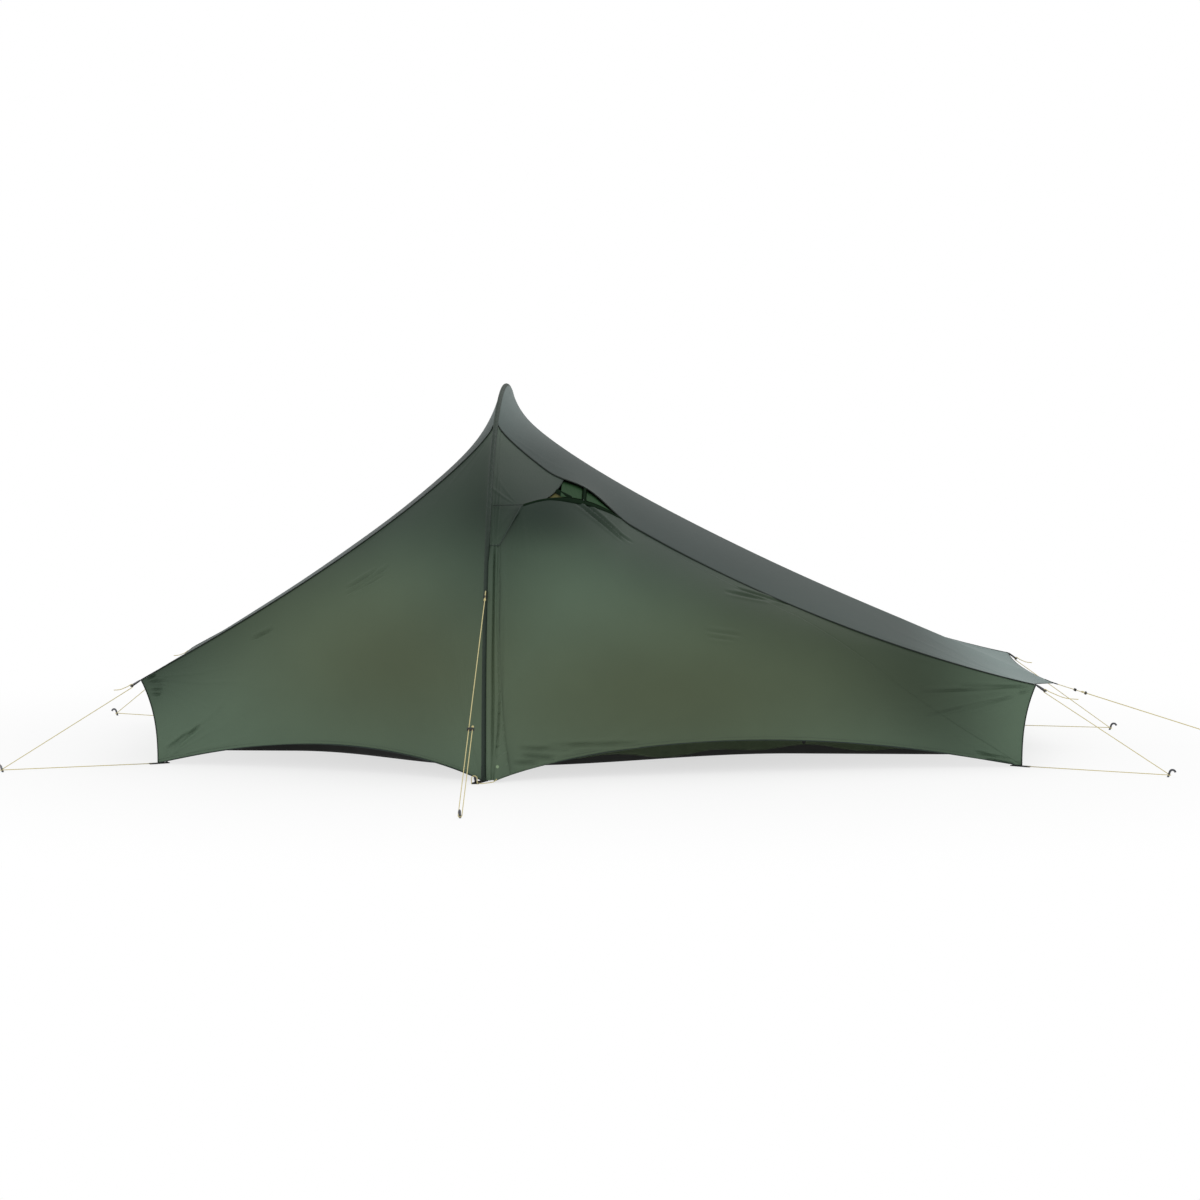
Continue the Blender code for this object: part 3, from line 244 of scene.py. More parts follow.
@dataclasses.dataclass(eq=False)
class End:
    """One half of the tent, from the hoop to its left or right end."""
    sign: int
    foot: float
    front: float
    rear: float
    half_width: float
    corner_height: float
    sag: float
    sag_at: float
    crown: float
    fade: float
    spire: float
    awning: float
    hem_rise: float

    def reach(self, side):
        return self.front if side == FRONT else self.rear

    def foot_reach(self, side):
        return self.foot + (self.reach(side) - self.front)


LEFT = End(
    sign=-1, foot=0.940, front=0.985, rear=1.040, half_width=0.508, corner_height=0.236,
    sag=0.063, sag_at=0.353, crown=0.036, fade=1.5, spire=0.040, awning=-0.025, hem_rise=0.068)
RIGHT = End(
    sign=1, foot=1.465, front=1.501, rear=1.538, half_width=0.4675, corner_height=0.229,
    sag=0.112, sag_at=0.420, crown=0.066, fade=2.6, spire=0.026, awning=0.096, hem_rise=0.083)
ENDS = (("left", LEFT), ("right", RIGHT))
SIDES = (("front", FRONT), ("rear", REAR))
PEG_PLACES = {
    "left_front": (-1.330, -0.679),
    "left_rear": (-1.318, 0.615),
    "right_front": (1.834, -0.645),
    "right_rear": (1.842, 0.372),
}


# Small helpers

def as_array(points):
    return np.array([tuple(p) for p in points], float)


def mix(a, b, t):
    return a + (b - a) * t


def steps(count, power=1.0):
    return [(i / count) ** power for i in range(count + 1)]


def bump(t, peak, sharpness=2.0):
    """Zero at 0 and 1, one at the peak, steeper on the nearer side."""
    if t <= 0 or t >= 1:
        return 0.0
    rising = (t / peak) ** (sharpness * peak)
    falling = ((1 - t) / (1 - peak)) ** (sharpness * (1 - peak))
    return rising * falling


def coons(bottom, top, left, right):
    """Grid of points that fills four edges."""
    bottom, top, left, right = map(as_array, (bottom, top, left, right))
    u = np.linspace(0, 1, len(bottom))[None, :, None]
    v = np.linspace(0, 1, len(left))[:, None, None]
    ruled = mix(bottom[None], top[None], v) + mix(left[:, None], right[:, None], u)
    corners = mix(mix(bottom[0], bottom[-1], u), mix(top[0], top[-1], u), v)
    return ruled - corners


def straight(start, stop, count):
    return [mix(start, stop, t) for t in steps(count)]


def between(bottom, top, rows):
    """Grid that fills two edges with straight sides."""
    return coons(bottom, top, *(straight(bottom[i], top[i], rows) for i in (0, -1)))


def smooth_curve(route, per_span):
    """Points on a smooth curve through the route's own points."""
    padded = [2 * route[0] - route[1]] + list(route) + [2 * route[-1] - route[-2]]
    found = []
    for before, start, stop, after in zip(padded, padded[1:], padded[2:], padded[3:]):
        leave, arrive = (stop - before) / 2, (after - start) / 2
        for k in range(per_span):
            t = k / per_span
            found.append(start * (2 * t ** 3 - 3 * t ** 2 + 1) + leave * (t ** 3 - 2 * t ** 2 + t)
                         + stop * (3 * t ** 2 - 2 * t ** 3) + arrive * (t ** 3 - t ** 2))
    found.append(route[-1])
    return found


def softened(points, share):
    """The path with its corners rounded over that share of its points; its ends stay."""
    points = as_array(points)
    reach = max(1, round(share * len(points)))
    before = 2 * points[:1] - points[reach:0:-1]
    after = 2 * points[-1:] - points[-2:-reach - 2:-1]
    extended = np.concatenate([before, points, after])
    weights = np.hanning(2 * reach + 3)[1:-1]
    weights /= weights.sum()
    return np.stack([np.convolve(column, weights, "valid") for column in extended.T], axis=-1)


def half_turn(centre, start, past, radius, count=12):
    """Half circle from the start side of a centre, round past it, to the other side."""
    angles = [math.pi * k / count for k in range(count + 1)]
    return [centre + (start * math.cos(a) + past * math.sin(a)) * radius for a in angles]


# Hoop: a large arc for each leg and a smaller one over the top

CROWN_RADIUS = CROWN_ROUNDNESS * HOOP_HALF_SPAN
LEG_RADIUS = ((HOOP_HALF_SPAN ** 2 + (HOOP_TOP - CROWN_RADIUS) ** 2 - CROWN_RADIUS ** 2)
              / (2 * (HOOP_HALF_SPAN - CROWN_RADIUS)))
LEG_CENTRE = HOOP_HALF_SPAN - LEG_RADIUS
CROWN_CENTRE = HOOP_TOP - CROWN_RADIUS
JOIN_ANGLE = math.atan2(CROWN_CENTRE, -LEG_CENTRE)
LEG_ARC = LEG_RADIUS * JOIN_ANGLE
HALF_POLE = LEG_ARC + CROWN_RADIUS * (math.pi / 2 - JOIN_ANGLE)


def hoop_point(length, x=0.0, side=FRONT):
    """Point on the hoop at this arc length from the foot on that side."""
    if length > HALF_POLE:
        return hoop_point(2 * HALF_POLE - length, x, -side)
    if length <= LEG_ARC:
        angle = length / LEG_RADIUS
        y = LEG_CENTRE + LEG_RADIUS * math.cos(angle)
        z = LEG_RADIUS * math.sin(angle)
    else:
        angle = JOIN_ANGLE + (length - LEG_ARC) / CROWN_RADIUS
        y = CROWN_RADIUS * math.cos(angle)
        z = CROWN_CENTRE + CROWN_RADIUS * math.sin(angle)
    return Vector((x, side * y, z))


def hoop_outward(length, side=FRONT):
    """Direction away from the hoop's own centre of curvature."""
    step = 0.002
    along = hoop_point(length + step, 0.0, side) - hoop_point(length - step, 0.0, side)
    out = Vector((0, -along.z, along.y)).normalized()
    middle = Vector((0, 0, 0.3))
    return out if out.dot(hoop_point(length, 0.0, side) - middle) > 0 else -out


def hoop_height(y):
    y = abs(y)
    if y < CROWN_RADIUS * math.cos(JOIN_ANGLE):
        return CROWN_CENTRE + math.sqrt(CROWN_RADIUS ** 2 - y ** 2)
    return math.sqrt(max(LEG_RADIUS ** 2 - (y - LEG_CENTRE) ** 2, 0.0))


def hoop_length_at(height):
    if height <= LEG_RADIUS * math.sin(JOIN_ANGLE):
        return LEG_RADIUS * math.asin(height / LEG_RADIUS)
    angle = math.asin((height - CROWN_CENTRE) / CROWN_RADIUS)
    return LEG_ARC + CROWN_RADIUS * (angle - JOIN_ANGLE)


SEAM_TOP = hoop_height(ROOF_HALF_WIDTH)
SEAM_LENGTH = hoop_length_at(SEAM_TOP)
HOOP_CROWN = HOOP_TOP - SEAM_TOP
ZIP_TOP = hoop_length_at(ZIP_TOP_HEIGHT)


# Fly surfaces. s runs from the hoop to the end, v across the roof or up a wall.

def roof(end, s, v):
    y = v * mix(ROOF_HALF_WIDTH, end.half_width, s)
    edge = mix(end.front, end.rear, (1 + v) / 2) + end.awning * (1 - abs(v)) ** AWNING_CURVE
    x = mix(HOOP_EDGE, edge, s)
    arch = (hoop_height(v * ROOF_HALF_WIDTH) - SEAM_TOP) / HOOP_CROWN
    spire = (HOOP_CROWN - end.crown) * math.exp(-(x - HOOP_EDGE) / end.spire)
    crown = (spire + end.crown * (1 - max(s, 0.0) ** end.fade)) * arch
    z = mix(SEAM_TOP, end.corner_height, s) - end.sag * bump(s, end.sag_at, SAG_SHARPNESS)
    z += crown
    if end is RIGHT:
        z -= AWNING_DROP * (1 - abs(v)) * s ** 4
        z += VENT_LIFT * vent_wave(x) * max(-v, 0.0) ** 4
    return Vector((end.sign * x, y, z))


def vent_wave(x):
    """The roof's edge arches over the vent, between the hood and the door's fold."""
    lead, trail = VENT_WAVE_MARGINS
    start, stop = HOOD_REACH - lead, VENT_REACH + trail
    along = (x - start) / (stop - start)
    return math.sin(math.pi * along) ** 2 if 0 < along < 1 else 0.0


def roof_normal(end, s, v):
    step = 1e-4
    along = roof(end, s + step, v) - roof(end, s - step, v)
    across = roof(end, s, v + step) - roof(end, s, v - step)
    normal = along.cross(across).normalized()
    return normal if normal.z > 0 else -normal


def under_roof(end, s, v):
    """The place of a wall's top edge, just under the roof's cloth and clear of the sleeve."""
    depth = CLOTH + 2 * GAP
    point = roof(end, s, v) - roof_normal(end, s, v) * depth
    short = HOOP_EDGE - abs(point.x)
    if short > 0:
        s += short / (end.front - HOOP_EDGE)
        point = roof(end, s, v) - roof_normal(end, s, v) * depth
        point.x = end.sign * max(abs(point.x), HOOP_EDGE)
    return point


def seam(end, side, s):
    return under_roof(end, s, side * V_EDGE)


def hem(end, side, s, start=HOOP_EDGE):
    x = mix(start, end.foot_reach(side), s)
    y = mix(HOOP_HALF_SPAN, end.half_width, s) - HEM_BOW * bump(s, 0.5)
    z = HEM_LIFT + end.hem_rise * bump(s, HEM_PEAK_AT)
    return Vector((end.sign * x, side * y, z))


def leg_edge(end, side, rows, start=HOOP_EDGE):
    bottom, top = hem(end, side, 0.0, start), seam(end, side, 0.0)
    top.x = end.sign * start
    points = []
    for v in steps(rows):
        points.append(hoop_point(mix(HEM_LIFT, SEAM_LENGTH, v), end.sign * start, side))
    slip_low, slip_high = bottom - points[0], top - points[-1]
    return [p + mix(slip_low, slip_high, v) for p, v in zip(points, steps(rows))]


def flared(low, high, rows):
    """Edge of a corner, which flares outwards near its top."""
    points = []
    for v in steps(rows):
        point = mix(low, high, v)
        point.x = mix(low.x, high.x, v ** CORNER_FLARE)
        points.append(point)
    return points


def corner_edge(end, side, rows):
    return flared(hem(end, side, 1.0), seam(end, side, 1.0), rows)


def wall_grid(end, side, columns, rows):
    stations = steps(columns, 1.15)
    top = [seam(end, side, s) for s in stations]
    bottom = [hem(end, side, s) for s in stations]
    return coons(bottom, top, leg_edge(end, side, rows), corner_edge(end, side, rows))


def end_wall_grid(end, columns, rows):
    top, bottom = [], []
    for v in straight(-1, 1, columns):
        inward = END_WALL_BOW * (1 - v * v)
        reach = mix(end.front, end.rear, (1 + v) / 2) - inward
        edge = mix(end.front, end.rear, (1 + v) / 2) + end.awning * (1 - abs(v)) ** AWNING_CURVE
        s = (reach - HOOP_EDGE) / (edge - HOOP_EDGE)
        tucked = v * (1 - (CORNER_TUCK + SEAM_TUCK) / end.half_width)
        top.append(under_roof(end, min(s, 1.0), tucked) - Vector((0, 0, END_WALL_DROP)))
        foot = mix(end.foot_reach(FRONT), end.foot_reach(REAR), (1 + v) / 2) - inward
        width = end.half_width - CORNER_TUCK
        bottom.append(Vector((end.sign * foot, v * width,
                              HEM_LIFT + END_HEM_RISE * (1 - v * v))))
    return coons(bottom, top, *(flared(bottom[i], top[i], rows) for i in (0, -1)))


def station_of(end, reach):
    """s of a place along the front seam."""
    return (reach - HOOP_EDGE) / (end.front - HOOP_EDGE)


def fold_line():
    """The straight fold that the door turns on: top end at the vent, low end at the corner."""
    high = seam(RIGHT, FRONT, station_of(RIGHT, VENT_REACH))
    low = hem(RIGHT, FRONT, 1.0)
    return high, low


@functools.cache
def whole_wall():
    """The right front wall as one smooth cloth; the door and the fixed wall are cut from it."""
    return wall_grid(RIGHT, FRONT, 400, 240)


def sampled(field, across, up):
    """Values of a grid at these shares of its width and height."""
    rows, columns = field.shape[0] - 1, field.shape[1] - 1
    a, b = np.broadcast_arrays(np.clip(across, 0, 1) * columns, np.clip(up, 0, 1) * rows)
    i, j = np.minimum(a.astype(int), columns - 1), np.minimum(b.astype(int), rows - 1)
    a, b = a - i, b - j
    if field.ndim == 3:
        a, b = a[..., None], b[..., None]
    low, high = mix(field[j, i], field[j, i + 1], a), mix(field[j + 1, i], field[j + 1, i + 1], a)
    return mix(low, high, b)


def wall_shares(targets):
    """Shares of the whole wall's width and height nearest to these points."""
    cloth = whole_wall()
    found = []
    for target in targets:
        gap = ((cloth - np.array(tuple(target))) ** 2).sum(axis=-1)
        row, column = np.unravel_index(gap.argmin(), gap.shape)
        found.append((column / (cloth.shape[1] - 1), row / (cloth.shape[0] - 1)))
    return softened(found, FOLD_SOFTNESS)


@functools.cache
def fold_shares(columns):
    """Where the fold runs on the whole wall, from the vent to the low corner."""
    high, low = fold_line()
    shares = wall_shares(straight(high, low, columns))
    shares[:, 1] = np.minimum(shares[:, 1], 1 - 0.2 * np.linspace(0, 1, columns + 1))
    return shares


def door_top(zip_columns, vent_columns):
    """The door's upper edge: from the top of its zip over its peak to the vent's far end."""
    high, low = fold_line()
    corner = high + (low - high).normalized() * DOOR_CORNER_TUCK
    peak, zip_top = Vector(DOOR_PEAK), hoop_point(ZIP_TOP, ZIP_EDGE)
    edge = []
    for t in steps(zip_columns):
        edge.append(mix(zip_top, peak, t) - Vector((0, 0, DOOR_PEAK_SAG)) * bump(t, 0.5))
    for t in steps(vent_columns)[1:]:
        edge.append(mix(peak, corner, t) + Vector((0, 0, DOOR_TOP_RISE)) * bump(t, 0.5))
    return edge


@functools.cache
def door_shares(zip_columns, vent_columns, fold_columns):
    """Places on the whole wall under the door's upper edge and, beyond the vent, on its fold."""
    edge = as_array(door_top(zip_columns, vent_columns))
    return np.concatenate([wall_shares(edge[:zip_columns + 1])[:-1],
                           wall_shares(edge[zip_columns:])[:-1], fold_shares(fold_columns)])


def door_grid(zip_columns, vent_columns, fold_columns, rows):
    """Columns run up from the hem to the door's upper edge and, beyond the vent, to the fold."""
    edge = as_array(door_top(zip_columns, vent_columns))
    across, up = door_shares(zip_columns, vent_columns, fold_columns).T
    rise = np.linspace(0, 1, rows + 1)[:, None]
    cloth = sampled(whole_wall(), across[None], rise * up[None])
    beyond = np.zeros((len(across), 3))
    beyond[:len(edge)] = edge - cloth[-1, :len(edge)]
    leg = as_array([hoop_point(mix(HEM_LIFT, ZIP_TOP, t), ZIP_EDGE) for t in steps(rows)])
    flare = (rise ** DOOR_FLARE)[..., None]
    beside = leg - cloth[:, 0] - flare[:, 0] * beyond[0]
    near = (1 - (across - across[0]) / (1 - across[0])) ** DOOR_ZIP_FADE
    return cloth + flare * beyond + beside[:, None] * near[None, :, None]


def fixed_wall_shares(columns, rows):
    across, up = fold_shares(columns).T
    return across[None], mix(up[None] - 0.006, 1.0, np.linspace(0, 1, rows + 1)[:, None])


def hood_edges(columns, rows):
    """The hood's four edges: along the zip, the roof seam, the hoop and its open mouth."""
    last = station_of(RIGHT, HOOD_REACH)
    top = [seam(RIGHT, FRONT, last * t) for t in steps(columns, 1.2)]
    low = ZIP_TOP - HOOD_OVER_ZIP
    left = [hoop_point(mix(low, SEAM_LENGTH, v), HOOP_EDGE) for v in steps(rows)]
    slip, out = top[0] - left[-1], hoop_outward(low) * HOOD_STAND_OFF
    left = [p + slip * v + out * (1 - v) ** 12 for p, v in zip(left, steps(rows))]
    tip = Vector(DOOR_PEAK) + Vector(HOOD_TIP_OFFSET)
    corner = hoop_point(low, ZIP_EDGE + 0.002) + out
    lift, belly = Vector(HOOD_EDGE_LIFT), Vector(HOOD_MOUTH_BELLY)
    beside = max(1, round(0.22 * columns))
    bottom = straight(left[0], corner, beside)[:-1]
    bottom += [mix(corner, tip, t) + lift * bump(t, 0.5) for t in steps(columns - beside)]
    right = [mix(tip, top[-1], t) + belly * bump(t, 0.55) for t in steps(rows)]
    return bottom, top, left, right


# Inner tent

def floor_half_width(x):
    taper = FLOOR_RIGHT_TAPER if x > 0 else FLOOR_LEFT_TAPER
    t = min(abs(x) / taper, 1.0)
    wave = (1 + math.cos(math.pi * t)) / 2
    return mix(FLOOR_HALF_WIDTH_END, FLOOR_HALF_WIDTH_HOOP, wave)


def inner_top(x):
    end = RIGHT if x > 0 else LEFT
    s = station_of(end, max(abs(x), HOOP_EDGE))
    return roof(end, s, -0.999).z - INNER_CLEARANCE + INNER_CROWN * (1 - min(s, 1.0))


def inner_arch(x, turn):
    """Point of the inner tent's arch at X; turn runs from 0 at the front rim to 1 at the rear."""
    angle = math.pi * turn
    width = floor_half_width(x) + TUB_FLARE - TUB_CLOTH / 2
    rim = TUB_HEIGHT + TUB_CLOTH / 2 + GAP
    rise = inner_top(x) - rim
    across = math.copysign(abs(math.cos(angle)) ** INNER_WALL_STEEPNESS, math.cos(angle))
    return Vector((x, -width * across, rim + rise * math.sin(angle) ** INNER_TOP_FULLNESS))


# Meshes

def unit(vectors):
    length = np.linalg.norm(vectors, axis=-1, keepdims=True)
    return vectors / np.maximum(length, 1e-12)


def placed(name, data):
    """An object that shows the data in the scene."""
    obj = bpy.data.objects.new(name, data)
    bpy.context.scene.collection.objects.link(obj)
    return obj


def new_piece(name, points, faces, uvs):
    """A smooth-shaded mesh object; uvs holds one pair for each corner of each face."""
    mesh = bpy.data.meshes.new(name)
    mesh.from_pydata([tuple(p) for p in points], [], [tuple(f) for f in faces])
    layer = mesh.uv_layers.new(name="Cloth")
    layer.data.foreach_set("uv", np.asarray(uvs, np.float32).ravel())
    mesh.validate()
    mesh.shade_smooth()
    return placed(name, mesh)


def grid_normals(grid):
    across, along = np.gradient(grid, axis=1), np.gradient(grid, axis=0)
    return unit(np.cross(across, along))


def outward_sign(grid, normals):
    """1 where the grid's normals face away from the tent's middle, else -1."""
    middle = grid.copy()
    middle[..., 1] = 0.0
    middle[..., 0] *= 0.8
    middle[..., 2] = np.minimum(grid[..., 2], 0.15)
    return 1 if (normals * (grid - middle)).sum() > 0 else -1


def cloth_uv(grid):
    """Distance along and across the cloth, in metres, for each grid point."""
    across = np.linalg.norm(np.diff(grid, axis=1), axis=-1)
    along = np.linalg.norm(np.diff(grid, axis=0), axis=-1)
    u = np.concatenate([np.zeros((grid.shape[0], 1)), across.cumsum(axis=1)], axis=1)
    v = np.concatenate([np.zeros((1, grid.shape[1])), along.cumsum(axis=0)], axis=0)
    middle = grid.shape[0] // 2
    u = np.broadcast_to(u[middle], u.shape)
    return np.stack([u, v], axis=-1)


def cell_areas(grid):
    a, b = grid[1:, 1:] - grid[:-1, :-1], grid[1:, :-1] - grid[:-1, 1:]
    return 0.5 * np.linalg.norm(np.cross(a, b), axis=-1)


def cut_size(grid):
    """(width, length) and area of the cloth that a grid was cut from."""
    across = np.linalg.norm(np.diff(grid, axis=1), axis=-1).sum(axis=1)
    along = np.linalg.norm(np.diff(grid, axis=0), axis=-1).sum(axis=0)
    area = cell_areas(grid).sum()
    width, length = across.max(), along.max()
    if area < 0.3 * width * length:  # a slanted sliver is cut from a narrower blank
        length = area / (0.5 * width)
    return (float(width), float(length)), float(min(area, width * length))


def sheet_piece(name, grid, thickness, keep=None):
    """A cloth sheet through a grid of points; keep marks the cells that are cloth."""
    rows, columns = grid.shape[:2]
    normals = grid_normals(grid)
    turned = outward_sign(grid, normals) < 0
    uv = cloth_uv(grid)
    faces, corners = [], []
    for j in range(rows - 1):
        for i in range(columns - 1):
            if keep is not None and not keep[j, i]:
                continue
            cell = [(j, i), (j, i + 1), (j + 1, i + 1), (j + 1, i)]
            cell = cell[::-1] if turned else cell
            faces.append([a * columns + b for a, b in cell])
            corners.extend(uv[a, b] for a, b in cell)
    return thickened(new_piece(name, grid.reshape(-1, 3), faces, corners), thickness, 0.0)


def thickened(obj, thickness, offset):
    wall = obj.modifiers.new("Cloth thickness", "SOLIDIFY")
    wall.thickness = thickness
    wall.offset = offset
    return obj


def sweep(points, half_width, half_height, facing=None, sides=8):
    """Points, faces and UVs of an oval section carried along a path, with closed ends."""
    path = as_array(points)
    tangent = unit(np.gradient(path, axis=0))
    count = len(path)
    if facing is None:
        seed = np.array((0.0, 0.0, 1.0) if abs(tangent[0][2]) < 0.9 else (1.0, 0.0, 0.0))
        normal = [unit(seed - tangent[0] * seed.dot(tangent[0]))]
        for i in range(1, count):
            carried = normal[-1] - tangent[i] * normal[-1].dot(tangent[i])
            normal.append(unit(carried))
        normal = np.array(normal)
    else:
        normal = as_array(facing)
        normal = unit(normal - tangent * (normal * tangent).sum(axis=1, keepdims=True))
    side = np.cross(tangent, normal)
    wide, high = (np.broadcast_to(size, (count,))[:, None, None]
                  for size in (half_width, half_height))
    turn = np.linspace(0, 2 * math.pi, sides, endpoint=False)[None, :, None]
    rings = (path[:, None] + side[:, None] * np.cos(turn) * wide
             + normal[:, None] * np.sin(turn) * high)
    run = np.concatenate([[0], np.linalg.norm(np.diff(path, axis=0), axis=1).cumsum()])
    faces, corners = [], []
    for i in range(count - 1):
        for k in range(sides):
            m = (k + 1) % sides
            faces.append((i * sides + k, (i + 1) * sides + k, (i + 1) * sides + m, i * sides + m))
            corners += [(run[i], k / sides), (run[i + 1], k / sides),
                        (run[i + 1], (k + 1) / sides), (run[i], (k + 1) / sides)]
    last = (count - 1) * sides
    faces.append(tuple(range(sides)))
    faces.append(tuple(last + k for k in reversed(range(sides))))
    corners += [(run[0], 0.5)] * sides + [(run[-1], 0.5)] * sides
    return rings.reshape(-1, 3), faces, corners


def joined(name, parts):
    """One object from several (points, faces, uvs) parts."""
    points, faces, corners = [], [], []
    for part_points, part_faces, part_uvs in parts:
        base = len(points)
        points.extend(tuple(p) for p in part_points)
        faces.extend([base + i for i in face] for face in part_faces)
        corners.extend(part_uvs)
    return new_piece(name, points, faces, corners)


# Creases

def fans(grid, *rows):
    """Heights of tension creases that fan out from pulled corners.

    Each row holds (anchor, towards, spread, reach, depth, folds, phase).
    """
    normals = grid_normals(grid)
    return [fan(grid, normals, *row) for row in rows]


def fan(grid, normals, anchor, towards, spread, reach, depth, folds, phase):
    anchor, towards = np.array(anchor, float), np.array(towards, float)
    offset = grid - anchor
    distance = np.linalg.norm(offset, axis=-1)
    near = np.unravel_index(distance.argmin(), distance.shape)
    normal = normals[near]
    axis = towards - anchor
    axis = unit(axis - normal * axis.dot(normal))
    side = np.cross(normal, axis)
    angle = np.arctan2(offset @ side, offset @ axis)
    wave = angle * folds + phase + 0.5 * np.sin(distance * 31.0 + phase * 2)
    ridge = np.maximum(np.cos(wave), 0) ** 2.2 - 0.28
    uneven = 0.65 + 0.35 * np.sin(angle * folds * 0.37 + phase * 3)
    start = 1 - np.exp(-distance / (0.18 * reach))
    fade = np.exp(-(distance / reach) ** 1.6) * np.exp(-(angle / spread) ** 2)
    return depth * ridge * uneven * start * fade


def pinches(grid, lines, width, depth):
    """Height of straight pinched creases; each line is two places in shares of the grid."""
    rows, columns = grid.shape[0] - 1, grid.shape[1] - 1
    normals = grid_normals(grid)
    heights = np.zeros(grid.shape[:2])
    for first_across, first_up, last_across, last_up in lines:
        start = grid[round(first_up * rows), round(first_across * columns)]
        stop = grid[round(last_up * rows), round(last_across * columns)]
        length = np.linalg.norm(stop - start)
        along = (stop - start) / length
        run = (grid - start) @ along
        off = grid - start - run[..., None] * along
        off = off - (off * normals).sum(axis=-1, keepdims=True) * normals
        off = np.linalg.norm(off, axis=-1) / width
        taper = np.sin(math.pi * np.clip(run / length, 0, 1)) ** 0.6
        heights += taper * (0.45 * np.exp(-((off - 2.1) / 1.1) ** 2) - np.exp(-off ** 2))
    return depth * heights


def slack(grid, depth, phase):
    """Slow unevenness of stretched cloth."""
    x, y, z = grid[..., 0], grid[..., 1], grid[..., 2]
    waves = np.sin(9.1 * x + 3.0 * z + phase) + np.sin(4.3 * x - 8.7 * z + 1.7 * phase)
    waves += 0.6 * np.sin(15.3 * x + 11.9 * z - 6.1 * y + 2.3 * phase)
    return depth * waves / 2.6


def rim_mask(grid, low):
    """One inside the sheet; low gives its (left, right, bottom, top) edges, zero where sewn."""
    rows, columns = grid.shape[:2]
    u = np.linspace(0, 1, columns)[None, :]
    v = np.linspace(0, 1, rows)[:, None]
    mask = np.ones((rows, columns))
    for value, t in zip(low, (u, 1 - u, v, 1 - v)):
        rise = np.clip(t / 0.025, 0, 1)
        mask = mask * (value + (1 - value) * rise * rise * (3 - 2 * rise))
    return mask


def depths():
    return bpy.context.scene.tent_cloth.crease_depth


def creased(grid, heights, low):
    """The grid moved outwards by the sum of its creases."""
    normals = grid_normals(grid)
    normals = normals * outward_sign(grid, normals)
    total = sum(heights) * depths() * rim_mask(grid, low)
    return grid + normals * total[..., None]


# Materials

def linear(code, alpha=True):
    """Linear colour of an sRGB hex value."""
    values = [int(code[i:i + 2], 16) / 255 for i in (0, 2, 4)]
    values = [v / 12.92 if v <= 0.04045 else ((v + 0.055) / 1.055) ** 2.4 for v in values]
    return (*values, 1.0) if alpha else tuple(values)


def add(tree, kind, settings=None, inputs=None):
    """Adds a node; an input takes a value or another node's socket."""
    node = tree.nodes.new(kind)
    for name, value in (settings or {}).items():
        setattr(node, name, value)
    for name, value in (inputs or {}).items():
        socket = node.inputs[name]
        if isinstance(value, bpy.types.NodeSocket):
            tree.links.new(value, socket)
        else:
            socket.default_value = value
    return node


def maths(tree, operation, *values):
    return add(tree, "ShaderNodeMath", {"operation": operation},
               dict(enumerate(values))).outputs[0]


def ranged(tree, value, found=(0.0, 1.0), wanted=(0.0, 1.0), kind="LINEAR"):
    """Maps the range that a value is found in to the wanted one."""
    return add(tree, "ShaderNodeMapRange", {"interpolation_type": kind},
               {"Value": value, "From Min": found[0], "From Max": found[1],
                "To Min": wanted[0], "To Max": wanted[1]}).outputs[0]


def eased(tree, value, found=(0.0, 1.0), wanted=(0.0, 1.0)):
    return ranged(tree, value, found, wanted, "SMOOTHSTEP")


def noise(tree, vector, scale, detail):
    return add(tree, "ShaderNodeTexNoise", None,
               {"Vector": vector, "Scale": scale, "Detail": detail}).outputs["Fac"]


def relief(tree, height, strength, distance):
    return add(tree, "ShaderNodeBump", None,
               {"Strength": strength, "Distance": distance, "Height": height}).outputs[0]


def blended(tree, amount, low, high):
    """Mixes two colours, each a value or a socket."""
    return add(tree, "ShaderNodeMix", {"data_type": "RGBA"},
               {0: amount, 6: low, 7: high}).outputs[2]


def toned(tree, colour, *factors):
    """The colour times two factors."""
    return add(tree, "ShaderNodeVectorMath", {"operation": "SCALE"},
               {0: colour, "Scale": maths(tree, "MULTIPLY", *factors)}).outputs[0]


def crossed_lines(tree, operation, uv, spacing, sharpness):
    """Thin lines that far apart, in metres, across both U and V."""
    lines = []
    for direction in "XY":
        wave = add(tree, "ShaderNodeTexWave",
                   {"wave_type": "BANDS", "bands_direction": direction, "wave_profile": "SIN"},
                   {"Vector": uv, "Scale": math.pi / 10 / spacing, "Distortion": 0.0})
        lines.append(maths(tree, "POWER", wave.outputs["Fac"], sharpness))
    return maths(tree, operation, *lines)


def blob(tree, coordinate, centre, size):
    """Soft spot, one at its centre and zero at its rim."""
    place = add(tree, "ShaderNodeMapping", {"vector_type": "TEXTURE"},
                {"Vector": coordinate, "Location": centre, "Scale": size})
    spot = add(tree, "ShaderNodeTexGradient", {"gradient_type": "SPHERICAL"},
               {"Vector": place.outputs[0]})
    return eased(tree, spot.outputs["Fac"])


def new_material(name):
    """The node tree of an empty material, and the coordinates of its points."""
    made = bpy.data.materials.new(name)
    made.use_nodes = True
    made.node_tree.nodes.clear()
    return made.node_tree, add(made.node_tree, "ShaderNodeTexCoord").outputs


def surface(tree, **sockets):
    """Principled shader; each of its sockets takes a value or another node's socket."""
    shader = add(tree, "ShaderNodeBsdfPrincipled", None,
                 {key.replace("_", " "): value for key, value in sockets.items()})
    add(tree, "ShaderNodeOutputMaterial", None, {"Surface": shader.outputs[0]})


